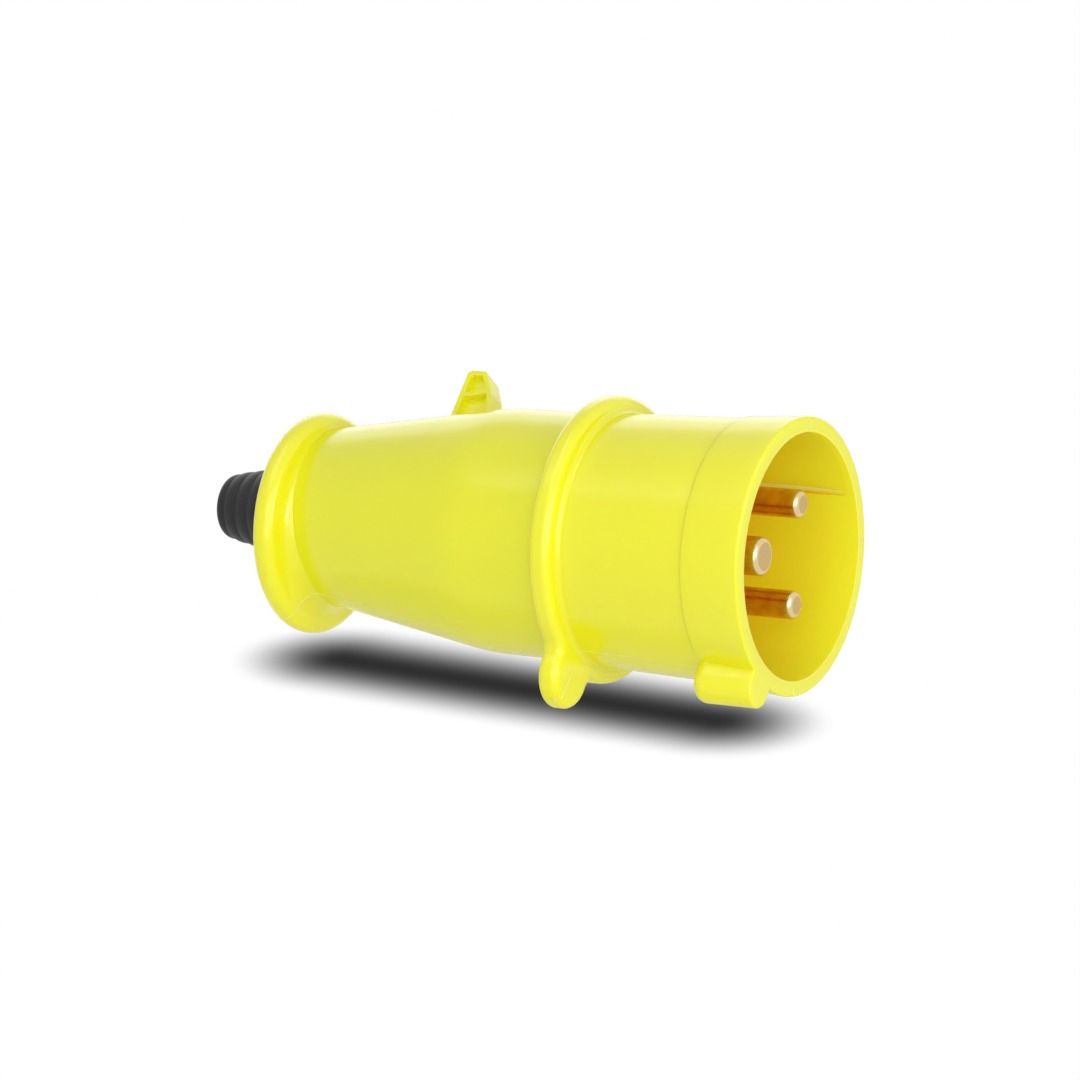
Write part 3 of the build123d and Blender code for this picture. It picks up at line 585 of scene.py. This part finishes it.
def moulded_plastic(
    name, tones, roughness, ior=1.5, grain_depth=0.00001, scuffs=0.1, specks=0.0, recess=None
):
    """Moulded plastic or rubber between two tones, with painted light and painted shade in the
    recess if their tones are given.
    """
    material, tree, shader = blank_material(name)
    shader.inputs["IOR"].default_value = ior
    tone, second_tone = tones
    drift = place_group(
        tree, "Tone Drift", (-700, 200), First_Tone=tone, Second_Tone=second_tone, Size=30.0
    )
    marks = place_group(
        tree, "Handling Marks", (-700, -50), Scuff_Amount=scuffs, Speck_Amount=specks
    )
    grain = place_group(tree, "Moulding Grain", (-700, -350), Wave_Share=0.6)
    speckled = add_colour_mix(tree, (-300, 200), shaded(tone, SPECK_SHADE))
    rough = add_node(tree, "ShaderNodeMapRange", (-300, -50), To_Min=roughness)
    rough.inputs["To Max"].default_value = min(1.0, roughness + SCUFFED_PLASTIC)
    bump = add_node(tree, "ShaderNodeBump", (100, -350), Strength=0.25, Distance=grain_depth)
    link(tree, marks.outputs["Specks"], speckled.inputs["Factor"])
    link(tree, drift.outputs["Color"], speckled.inputs[COLOUR_A])
    colour = speckled.outputs[COLOUR_RESULT]
    if recess:
        colour = painted_recess_light_and_shade(tree, colour, *recess)
    link(tree, colour, shader.inputs["Base Color"])
    link(tree, marks.outputs["Scuffs"], rough.inputs["Value"])
    link(tree, rough.outputs["Result"], shader.inputs["Roughness"])
    link(tree, grain.outputs["Height"], bump.inputs["Height"])
    link(tree, bump.outputs["Normal"], shader.inputs["Normal"])
    return material, shader


def turned_tip(tree, place, shaft, size, tones):
    """Changes the tone of a shaft on the rounded edge of its tip, to a paler tone for wear and a
    painted highlight, and on its end face.
    """
    half_length, radius = size
    edge_tone, face_tone = tones
    tip = place_group(tree, "Turned Tip", (-700, 100), Half_Length=half_length, Radius=radius)
    faced = add_colour_mix(tree, (-300, 300), face_tone)
    edged = add_colour_mix(tree, (-100, 300), edge_tone)
    for measure in ("Along", "Reach"):
        link(tree, place.outputs[measure], tip.inputs[measure])
    link(tree, tip.outputs["Face"], faced.inputs["Factor"])
    link(tree, shaft, faced.inputs[COLOUR_A])
    link(tree, tip.outputs["Edge"], edged.inputs["Factor"])
    link(tree, faced.outputs[COLOUR_RESULT], edged.inputs[COLOUR_A])
    return edged.outputs[COLOUR_RESULT]


def turned_metal(name, tones, roughness, centre, tip_size=None, tip_tones=None):
    """Turned metal between two tones, with a paler tone for wear and a painted highlight on the
    edge of a tip, and another on its face, if given.
    """
    material, tree, shader = blank_material(name)
    shader.inputs["Metallic"].default_value = 1.0
    tone, second_tone = tones
    drift = place_group(
        tree, "Tone Drift", (-700, 300), First_Tone=tone, Second_Tone=second_tone, Size=400.0
    )
    place = place_group(tree, "Axis Place", (-1000, 0), Centre=centre)
    marks = place_group(tree, "Lathe Marks", (-700, -50))
    scuffs = place_group(
        tree, "Handling Marks", (-700, -350), Scuff_Size=260.0, Scuff_Amount=1.0, Speck_Amount=0.0
    )
    rough = add_node(tree, "ShaderNodeMapRange", (-300, -50), To_Min=roughness)
    rough.inputs["To Max"].default_value = roughness + SCUFFED_METAL
    cut = add_math(tree, "MULTIPLY", (-300, -350))
    bump = add_node(tree, "ShaderNodeBump", (100, -350), Strength=0.5, Distance=0.00001)
    for measure in ("Along", "Reach"):
        link(tree, place.outputs[measure], marks.inputs[measure])
    colour = drift.outputs["Color"]
    if tip_size:
        colour = turned_tip(tree, place, colour, tip_size, tip_tones)
    link(tree, colour, shader.inputs["Base Color"])
    link(tree, scuffs.outputs["Scuffs"], rough.inputs["Value"])
    link(tree, rough.outputs["Result"], shader.inputs["Roughness"])
    link(tree, marks.outputs["Rings"], cut.inputs[0])
    link(tree, marks.outputs["Lines"], cut.inputs[1])
    link(tree, cut.outputs[0], bump.inputs["Height"])
    link(tree, bump.outputs["Normal"], shader.inputs["Normal"])
    return material


def give_finish(names, material):
    """Gives nodes of the model a material and smooth shading."""
    for name in names:
        mesh = frame["nodes"][name].data
        mesh.materials.clear()
        mesh.materials.append(material)
        mesh.polygons.foreach_set("use_smooth", [True] * len(mesh.polygons))


# Sizes and colours that a user may change


class PlugFinish(bpy.types.PropertyGroup):
    """Colours and gloss of the plug's materials."""

    housing_colour: FloatVectorProperty(
        name="Housing Colour",
        description="Colour of the moulded housing",
        subtype="COLOR",
        size=4,
        min=0.0,
        max=1.0,
        default=(0.90, 0.87, 0.014, 1.0),
    )
    housing_shade: FloatVectorProperty(
        name="Housing Shade",
        description="Second tone that the housing drifts to",
        subtype="COLOR",
        size=4,
        min=0.0,
        max=1.0,
        default=(0.89, 0.85, 0.012, 1.0),
    )
    # Painted light: a lighter tone of the housing inside the recess
    housing_recess_light: FloatVectorProperty(
        name="Housing Recess Light",
        description="Tone of the housing inside the recess",
        subtype="COLOR",
        size=4,
        min=0.0,
        max=1.0,
        default=(0.97, 0.93, 0.035, 1.0),
    )
    # Painted highlight: a light tone for the fine raised lines and the strips along the relief's
    # edges
    housing_edge_highlight: FloatVectorProperty(
        name="Housing Edge Highlight",
        description="Tone of fine edges and lines on the housing",
        subtype="COLOR",
        size=4,
        min=0.0,
        max=1.0,
        default=(0.93, 0.92, 0.2, 1.0),
    )
    # Painted shade: an orange tone where ambient occlusion finds the recess deep
    housing_hollow_shade: FloatVectorProperty(
        name="Housing Hollow Shade",
        description="Tone of the housing deep in the recess",
        subtype="COLOR",
        size=4,
        min=0.0,
        max=1.0,
        default=(1.0, 0.52, 0.0, 1.0),
    )
    housing_roughness: FloatProperty(
        name="Housing Roughness",
        description="Roughness of the moulded housing",
        subtype="FACTOR",
        min=0.0,
        max=1.0,
        default=0.2,
    )
    brass_colour: FloatVectorProperty(
        name="Brass Colour",
        description="Colour of the shafts of the contact pins",
        subtype="COLOR",
        size=4,
        min=0.0,
        max=1.0,
        default=(0.86, 0.47, 0.12, 1.0),
    )
    # Paler tone on the worn, rounded edges of the pins, which also paints in their highlight
    brass_edge_wear_and_highlight: FloatVectorProperty(
        name="Brass Edge Wear And Highlight",
        description="Colour of the worn, rounded edges at the ends of the pins",
        subtype="COLOR",
        size=4,
        min=0.0,
        max=1.0,
        default=(0.74, 0.58, 0.32, 1.0),
    )
    brass_end_colour: FloatVectorProperty(
        name="Brass End Colour",
        description="Colour of the turned end faces of the pins",
        subtype="COLOR",
        size=4,
        min=0.0,
        max=1.0,
        default=(0.58, 0.40, 0.15, 1.0),
    )
    rubber_colour: FloatVectorProperty(
        name="Rubber Colour",
        description="Colour of the boot and the seal",
        subtype="COLOR",
        size=4,
        min=0.0,
        max=1.0,
        default=(0.013, 0.0133, 0.0145, 1.0),
    )


class PlugDetails(bpy.types.PropertyGroup):
    """Sizes of the boot's tail and of the lines left by the mould."""

    tail_start: FloatProperty(
        name="Tail Start",
        description="Distance from the mouth to the end wall that the boot's tail leaves",
        subtype="DISTANCE",
        default=0.1192,
    )
    tail_end: FloatProperty(
        name="Tail End",
        description="Distance from the mouth to the end of the boot",
        subtype="DISTANCE",
        default=0.1403,
    )
    tail_radius: FloatProperty(
        name="Tail Radius",
        description="Radius of the boot's tail where it leaves the end wall",
        subtype="DISTANCE",
        default=0.0104,
    )
    tail_end_radius: FloatProperty(
        name="Tail End Radius",
        description="Radius that the boot's tail tapers to",
        subtype="DISTANCE",
        default=0.0066,
    )
    ring_pitch: FloatProperty(
        name="Ring Pitch",
        description="Length of one ring of the boot",
        subtype="DISTANCE",
        default=0.00337,
    )
    ring_rise: FloatProperty(
        name="Ring Rise",
        description="Height of the rings over the grooves between them",
        subtype="DISTANCE",
        default=0.0004,
    )
    bore_radius: FloatProperty(
        name="Bore Radius",
        description="Radius of the cable bore through the boot",
        subtype="DISTANCE",
        default=0.00475,
    )
    line_width: FloatProperty(
        name="Line Width",
        description="Width of the fine lines that the mould leaves",
        subtype="DISTANCE",
        default=0.00032,
    )
    line_height: FloatProperty(
        name="Line Height",
        description="Height of the fine lines that the mould leaves",
        subtype="DISTANCE",
        default=0.00009,
    )
    collar_distance: FloatProperty(
        name="Collar Distance",
        description="Distance from the mouth to the line round the collar",
        subtype="DISTANCE",
        default=0.0135,
    )


class PlugStage(bpy.types.PropertyGroup):
    """Camera and lights."""

    heading: FloatProperty(
        name="Camera Heading",
        description="Direction in which the camera looks, counted from +X",
        subtype="ANGLE",
        default=radians(119.85),
    )
    pitch: FloatProperty(
        name="Camera Pitch",
        description="Angle at which the camera looks down",
        subtype="ANGLE",
        default=radians(16.692),
    )
    mouth_place: FloatVectorProperty(
        name="Mouth Place",
        description="Mouth of the plug as the camera sees it: right, down and away",
        subtype="XYZ",
        unit="LENGTH",
        default=(0.05384, 0.00344, 1.0264),
    )
    lens: FloatProperty(
        name="Lens",
        description="Focal length on a sensor 36 mm wide, in millimetres",
        min=1.0,
        default=166.67,
    )
    light_level: FloatProperty(
        name="Light Level",
        description="Scale of all the lamps",
        min=0.0,
        default=1.0,
    )
    room_level: FloatProperty(
        name="Room Level",
        description="Light that the white room gives, where 1 looks white",
        min=0.0,
        default=0.38,
    )
    table_level: FloatProperty(
        name="Table Level",
        description="Light that the lit table top gives to the underside",
        min=0.0,
        default=0.8,
    )
    shadow_start: FloatVectorProperty(
        name="Shadow Start",
        description="Rear end of the soft shadow's middle line on the floor",
        subtype="XYZ",
        unit="LENGTH",
        default=(-0.1003, -0.0180, 0.0),
    )
    shadow_end: FloatVectorProperty(
        name="Shadow End",
        description="Front end of the soft shadow's middle line on the floor",
        subtype="XYZ",
        unit="LENGTH",
        default=(-0.0121, -0.01425, 0.0),
    )
    shadow_width: FloatProperty(
        name="Shadow Width",
        description="Distance from the middle line at which the shadow has faded",
        subtype="DISTANCE",
        min=0.0,
        default=0.0252,
    )
    shadow_depth: FloatProperty(
        name="Shadow Depth",
        description="Tone of the darkest part of the shadow",
        subtype="FACTOR",
        min=0.0,
        max=1.0,
        default=0.2,
    )


# Operators


class PLUG_OT_surface_effects(bpy.types.Operator):
    """Builds the surface effects that the materials share"""

    bl_idname = "plug.surface_effects"
    bl_label = "Build Surface Effects"

    def execute(self, context):
        build_moulding_grain()
        build_handling_marks()
        build_tone_drift()
        build_axis_place()
        build_lathe_marks()
        build_turned_tip()
        return {"FINISHED"}


class PLUG_OT_housing(bpy.types.Operator):
    """Finishes the moulded housing: shroud, rear body and pin carrier"""

    bl_idname = "plug.housing"
    bl_label = "Finish Housing"

    def execute(self, context):
        finish = context.scene.plug_finish
        tones = (finish.housing_colour[:], finish.housing_shade[:])
        # Tones of painted light in the recess and of painted shade deep in it
        recess = (finish.housing_recess_light[:], finish.housing_hollow_shade[:])
        material, shader = moulded_plastic(
            "Moulded Housing",
            tones,
            finish.housing_roughness,
            ior=1.58,
            specks=0.003,
            recess=recess,
        )
        shader.inputs["Subsurface Weight"].default_value = 0.5
        shader.inputs["Subsurface Radius"].default_value = (1.0, 0.7, 0.03)
        shader.inputs["Subsurface Scale"].default_value = 0.005
        give_finish(YELLOW_NODES, material)
        # A darker tone that paints the shadow in the gap round the collar
        seam_shadow_tone = shaded(finish.housing_colour, SEAM_SHADE)
        moulded_plastic("Housing Seam Shadow", (seam_shadow_tone, seam_shadow_tone), roughness=0.45)
        # Light tone that paints a highlight on the raised lines and on the strips along the
        # relief's edges
        edge_tone = finish.housing_edge_highlight[:]
        moulded_plastic("Housing Edge Highlight", (edge_tone, edge_tone), roughness=0.2)
        return {"FINISHED"}


class PLUG_OT_pins(bpy.types.Operator):
    """Finishes the three contact pins"""

    bl_idname = "plug.pins"
    bl_label = "Finish Pins"

    def execute(self, context):
        finish = context.scene.plug_finish
        shaft = finish.brass_colour[:]
        tones = (shaft, shaded(shaft, *BRASS_DRIFT))
        tip_tones = (finish.brass_edge_wear_and_highlight[:], finish.brass_end_colour[:])
        for name in PIN_NODES:
            sizes = MOUNTS[name]["dims"]
            tip_size = (sizes["length_mm"] / 2000, sizes["r_mm"] / 1000)
            brass = turned_metal(
                "Turned Brass " + name,
                tones,
                roughness=0.26,
                centre=PIN_CENTRES[name],
                tip_size=tip_size,
                tip_tones=tip_tones,
            )
            give_finish([name], brass)
        return {"FINISHED"}


class PLUG_OT_inside(bpy.types.Operator):
    """Finishes the clamp, the screws and the nuts inside the body"""

    bl_idname = "plug.inside"
    bl_label = "Finish Inside"

    def execute(self, context):
        dark = (0.03, 0.03, 0.032, 1.0)
        lighter = (0.04, 0.04, 0.042, 1.0)
        plastic, _ = moulded_plastic(
            "Clamp Plastic", (dark, lighter), roughness=0.5, grain_depth=0.00003, scuffs=0.3
        )
        give_finish(DARK_NODES, plastic)
        zinc = (0.66, 0.66, 0.63, 1.0)
        yellowed = (0.6, 0.58, 0.5, 1.0)
        steel = turned_metal("Zinc Plated Steel", (zinc, yellowed), roughness=0.3, centre=MOUTH)
        give_finish(SCREW_NODES, steel)
        return {"FINISHED"}


class PLUG_OT_rubber(bpy.types.Operator):
    """Finishes the cable boot and the seal"""

    bl_idname = "plug.rubber"
    bl_label = "Finish Rubber"

    def execute(self, context):
        tone = context.scene.plug_finish.rubber_colour[:]
        tones = (tone, shaded(tone, RUBBER_DRIFT))
        rubber, _ = moulded_plastic(
            "Black Rubber", tones, roughness=0.5, ior=1.36, grain_depth=0.00003, scuffs=0.5
        )
        give_finish(RUBBER_NODES, rubber)
        return {"FINISHED"}


class PLUG_OT_boot(bpy.types.Operator):
    """Builds the cable boot with its soft rings, in place of the plain one"""

    bl_idname = "plug.boot"
    bl_label = "Build Boot"

    def execute(self, context):
        details = context.scene.plug_details
        profile = self.inner_profile(details) + self.tail_profile(details)
        form = turned_form(profile, BOOT_SEGMENTS)
        boot = finished_piece("ringed_boot", form, bpy.data.materials["Black Rubber"])
        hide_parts("cable_boot")
        return {"FINISHED"}

    def inner_profile(self, details):
        """Follows the plain boot's bore, flange and neck inside the body."""
        places = [vertex.co for vertex in frame["nodes"]["cable_boot"].data.vertices]
        front = min(-place.dot(OUTWARDS) for place in places)
        wall = details.tail_start - END_WALL
        flange = [place for place in places if -place.dot(OUTWARDS) < wall + HAIR]
        flange_radius = max((place - OUTWARDS * place.dot(OUTWARDS)).length for place in flange)
        return [
            (details.tail_end - BORE_LIP, details.bore_radius),
            (front, details.bore_radius),
            (front, flange_radius),
            (wall, flange_radius),
            (wall, NECK_RADIUS),
            (details.tail_start, NECK_RADIUS),
        ]

    def tail_profile(self, details):
        """Swells between grooves, shrinks towards the end and rounds off there."""
        start, end = details.tail_start, details.tail_end
        slope = (details.tail_radius - details.tail_end_radius) / (end - start)
        last_groove = end - ROUNDED_END
        profile = [(start, details.tail_radius - HAIR)]
        for step in range(1, TAIL_STEPS + 1):
            distance = start + (last_groove - start) * step / TAIL_STEPS
            share = (last_groove - distance) / details.ring_pitch % 1.0
            swell = (4 * share * (1 - share)) ** RING_FULLNESS * details.ring_rise
            profile.append((distance, details.tail_radius - (distance - start) * slope + swell))
        edge_radius = profile[-1][1]
        inner_radius = details.bore_radius + BORE_LIP
        for step in range(1, END_STEPS + 1):
            turn = pi / 2 * step / END_STEPS
            distance = last_groove + (end - last_groove) * sin(turn)
            swell = sin(2 * turn) * details.ring_rise * END_SWELL
            radius = inner_radius + (edge_radius - inner_radius) * cos(turn) ** END_FULLNESS
            profile.append((distance, radius + swell))
        return profile


class PLUG_OT_mould_lines(bpy.types.Operator):
    """Lays the parting lines and rim marks in a light tone that paints their highlight, the line
    round the collar in a darker tone that paints the shadow in its gap, and light strips that paint
    a highlight along the relief's edges
    """

    bl_idname = "plug.mould_lines"
    bl_label = "Lay Mould Lines"

    def execute(self, context):
        details = context.scene.plug_details
        width, height = details.line_width, details.line_height
        # The light tone paints a highlight on the parting lines and the rim marks
        light = bpy.data.materials["Housing Edge Highlight"]
        seam = bpy.data.materials["Housing Seam Shadow"]
        guides = [guide_at(run, PARTING_ANGLE) for run in (SLEEVE_RUN, EAR_RUN)]
        guides += [guide_at(RIM_RUN, angle) for angle in RIM_MARK_ANGLES]
        front = raised_lines("front_shroud", guides, width, height)
        finished_piece("shroud_parting_lines", front, light)
        rear = raised_lines("rear_body", [guide_at(REAR_RUN, PARTING_ANGLE)], width, height)
        finished_piece("body_parting_line", rear, light)
        # The line round the collar in the darker tone: a painted shadow in its gap
        circle = [
            place_at(details.collar_distance, COLLAR_REACH, radians(angle))
            for angle in COLLAR_ANGLES
        ]
        ring = raised_lines(
            "front_shroud", [circle], width * COLLAR_WIDTH_SHARE, height * COLLAR_HEIGHT_SHARE
        )
        finished_piece("collar_shadow_line", ring, seam)
        # Strips along the relief's edges in the light tone: a painted highlight
        edges = [guide_at(RELIEF_RUN, angle) for angle in RELIEF_ANGLES]
        relief = raised_lines("front_shroud", edges, RELIEF_WIDTH, RELIEF_HEIGHT, slender=True)
        finished_piece("relief_edge_highlights", relief, light)
        return {"FINISHED"}


class PLUG_OT_stage(bpy.types.Operator):
    """Sets the floor, the lamps, the surroundings and the camera"""

    bl_idname = "plug.stage"
    bl_label = "Set Stage"

    def execute(self, context):
        stage = context.scene.plug_stage
        self.add_camera(context, stage)
        self.add_floor(context, stage)
        self.add_surroundings(context, stage)
        self.add_lamps(context, stage)
        context.scene.view_settings.view_transform = "Standard"
        return {"FINISHED"}

    def add_camera(self, context, stage):
        """Stands the camera where it sees the mouth at the stated place."""
        heading, pitch = stage.heading, stage.pitch
        forward = Vector((cos(heading) * cos(pitch), sin(heading) * cos(pitch), -sin(pitch)))
        right = forward.cross(Vector((0, 0, 1))).normalized()
        down = forward.cross(right)
        place = stage.mouth_place
        location = -(right * place[0] + down * place[1] + forward * place[2])
        camera = bpy.data.cameras.new("Camera")
        camera.lens = stage.lens
        camera.sensor_width = 36.0
        camera.sensor_fit = "HORIZONTAL"
        camera.clip_start = 0.01
        camera_object = bpy.data.objects.new("Camera", camera)
        context.scene.collection.objects.link(camera_object)
        turn = Matrix((right, -down, -forward)).transposed()
        camera_object.matrix_world = Matrix.Translation(location) @ turn.to_4x4()
        context.scene.camera = camera_object

    def add_floor(self, context, stage):
        """Lays a white floor with a soft painted shadow under the plug."""
        mesh = bpy.data.meshes.new("floor")
        corners = [(-1, -1), (1, -1), (1, 1), (-1, 1)]
        mesh.from_pydata([(x * FLOOR_SPAN, y * FLOOR_SPAN, 0) for x, y in corners], [], [range(4)])
        floor = bpy.data.objects.new("floor", mesh)
        floor.location = (0.0, 0.0, FLOOR_HEIGHT)
        context.scene.collection.objects.link(floor)
        floor.data.materials.append(self.white_floor(stage))

    def white_floor(self, stage):
        """White with a painted shadow where it is seen, lighter where it is mirrored, and a lit
        table top for all other light.
        """
        material = bpy.data.materials.new("White Floor")
        tree = blank_tree(material)
        shadow = self.painted_soft_shadow(tree, stage)
        mirrored = add_math(tree, "MULTIPLY", (-100, 150), FLOOR_MIRRORED)
        bright = add_math(tree, "MAXIMUM", (0, 100))
        glow = add_node(tree, "ShaderNodeEmission", (100, 0))
        paint = add_node(tree, "ShaderNodeBsdfDiffuse", (-100, -200))
        paint.inputs["Color"].default_value = [FLOOR_PAINT] * 3 + [1.0]
        table = add_node(tree, "ShaderNodeEmission", (-100, -400), Strength=stage.table_level)
        under = add_node(tree, "ShaderNodeMixShader", (100, -300), Fac=TABLE_SHARE)
        rays = add_node(tree, "ShaderNodeLightPath", (-300, 400))
        seen = add_math(tree, "MAXIMUM", (-100, 300))
        choice = add_node(tree, "ShaderNodeMixShader", (300, 0))
        output = add_node(tree, "ShaderNodeOutputMaterial", (500, 0))
        link(tree, shadow, bright.inputs[0])
        link(tree, rays.outputs["Is Glossy Ray"], mirrored.inputs[0])
        link(tree, mirrored.outputs[0], bright.inputs[1])
        link(tree, bright.outputs[0], glow.inputs["Color"])
        link(tree, rays.outputs["Is Camera Ray"], seen.inputs[0])
        link(tree, rays.outputs["Is Glossy Ray"], seen.inputs[1])
        link(tree, seen.outputs[0], choice.inputs["Fac"])
        link(tree, paint.outputs["BSDF"], under.inputs[1])
        link(tree, table.outputs["Emission"], under.inputs[2])
        link(tree, under.outputs["Shader"], choice.inputs[1])
        link(tree, glow.outputs["Emission"], choice.inputs[2])
        link(tree, choice.outputs["Shader"], output.inputs["Surface"])
        return material

    def painted_soft_shadow(self, tree, stage):
        """Painted shadow: a tone that darkens towards a middle line on the floor, straight from end
        to end.
        """
        start = Vector(stage.shadow_start)
        run = Vector(stage.shadow_end) - start
        place = add_node(tree, "ShaderNodeTexCoord", (-1500, 0))
        offset = add_vector_math(tree, "SUBTRACT", (-1300, 0))
        offset.inputs[1].default_value = start
        along = add_vector_math(tree, "DOT_PRODUCT", (-1100, -200))
        along.inputs[1].default_value = run / run.length_squared
        share = add_node(tree, "ShaderNodeClamp", (-900, -200))
        foot = add_vector_math(tree, "SCALE", (-700, -200))
        foot.inputs[0].default_value = run
        away = add_vector_math(tree, "DISTANCE", (-500, 0))
        shade = add_node(tree, "ShaderNodeMapRange", (-300, 0), From_Max=stage.shadow_width)
        shade.inputs["To Min"].default_value = stage.shadow_depth
        shade.interpolation_type = "SMOOTHSTEP"
        tone = add_math(tree, "POWER", (-100, 0), SCREEN_GAMMA)
        link(tree, place.outputs["Object"], offset.inputs[0])
        link(tree, offset.outputs["Vector"], along.inputs[0])
        link(tree, along.outputs["Value"], share.inputs["Value"])
        link(tree, share.outputs["Result"], foot.inputs["Scale"])
        link(tree, offset.outputs["Vector"], away.inputs[0])
        link(tree, foot.outputs["Vector"], away.inputs[1])
        link(tree, away.outputs["Value"], shade.inputs["Value"])
        link(tree, shade.outputs["Result"], tone.inputs[0])
        return tone.outputs[0]

    def add_surroundings(self, context, stage):
        """Surrounds the plug with an even white room, dimmer for the light that it gives."""
        world = bpy.data.worlds.new("White Room")
        context.scene.world = world
        tree = blank_tree(world)
        rays = add_node(tree, "ShaderNodeLightPath", (-600, 200))
        first = add_math(tree, "MAXIMUM", (-400, 200))
        second = add_math(tree, "MAXIMUM", (-200, 200))
        level = add_node(tree, "ShaderNodeMapRange", (0, 200), To_Min=stage.room_level)
        sky = add_node(tree, "ShaderNodeBackground", (200, 0), Color=(1.0, 1.0, 1.0, 1.0))
        output = add_node(tree, "ShaderNodeOutputWorld", (400, 0))
        link(tree, rays.outputs["Is Camera Ray"], first.inputs[0])
        link(tree, rays.outputs["Is Glossy Ray"], first.inputs[1])
        link(tree, first.outputs[0], second.inputs[0])
        link(tree, rays.outputs["Is Transmission Ray"], second.inputs[1])
        link(tree, second.outputs[0], level.inputs["Value"])
        link(tree, level.outputs["Result"], sky.inputs["Strength"])
        link(tree, sky.outputs["Background"], output.inputs["Surface"])

    def add_lamps(self, context, stage):
        """Hangs soft lamps round the plug, and a small one near the mouth to fill the recess."""
        for name, size, power, direction, distance, target in LAMPS:
            lamp = bpy.data.lights.new(name, "AREA")
            lamp.shape = "RECTANGLE"
            lamp.size, lamp.size_y = size
            lamp.energy = power * stage.light_level
            lamp_object = bpy.data.objects.new(name, lamp)
            context.scene.collection.objects.link(lamp_object)
            away = Vector(direction)
            lamp_object.location = target + away.normalized() * distance
            lamp_object.rotation_euler = (-away).to_track_quat("-Z", "Y").to_euler()
        bpy.data.objects["Fill"].visible_camera = False


class PLUG_PT_sidebar(bpy.types.Panel):
    """Lists the steps and the values of the plug"""

    bl_idname = "PLUG_PT_sidebar"
    bl_label = "Industrial Plug"
    bl_space_type = "VIEW_3D"
    bl_region_type = "UI"
    bl_category = "Plug"

    def draw(self, context):
        layout = self.layout
        for step in STEPS:
            layout.operator(step.bl_idname)
        scene = context.scene
        for group in (scene.plug_finish, scene.plug_details, scene.plug_stage):
            column = layout.column()
            for name in group.__annotations__:
                column.prop(group, name)


STEPS = (
    PLUG_OT_surface_effects,
    PLUG_OT_housing,
    PLUG_OT_pins,
    PLUG_OT_inside,
    PLUG_OT_rubber,
    PLUG_OT_boot,
    PLUG_OT_mould_lines,
    PLUG_OT_stage,
)
CLASSES = (PlugFinish, PlugDetails, PlugStage, PLUG_PT_sidebar) + STEPS


def register():
    """Registers the classes and gives the scene its values."""
    for entry in CLASSES:
        bpy.utils.register_class(entry)
    bpy.types.Scene.plug_finish = PointerProperty(type=PlugFinish)
    bpy.types.Scene.plug_details = PointerProperty(type=PlugDetails)
    bpy.types.Scene.plug_stage = PointerProperty(type=PlugStage)


def unregister():
    """Takes the values and the classes away again."""
    del bpy.types.Scene.plug_stage
    del bpy.types.Scene.plug_details
    del bpy.types.Scene.plug_finish
    for entry in reversed(CLASSES):
        bpy.utils.unregister_class(entry)


def main():
    """Runs every step in order."""
    register()
    bpy.ops.plug.surface_effects()
    bpy.ops.plug.housing()
    bpy.ops.plug.pins()
    bpy.ops.plug.inside()
    bpy.ops.plug.rubber()
    bpy.ops.plug.boot()
    bpy.ops.plug.mould_lines()
    bpy.ops.plug.stage()


if __name__ == "__main__":
    main()
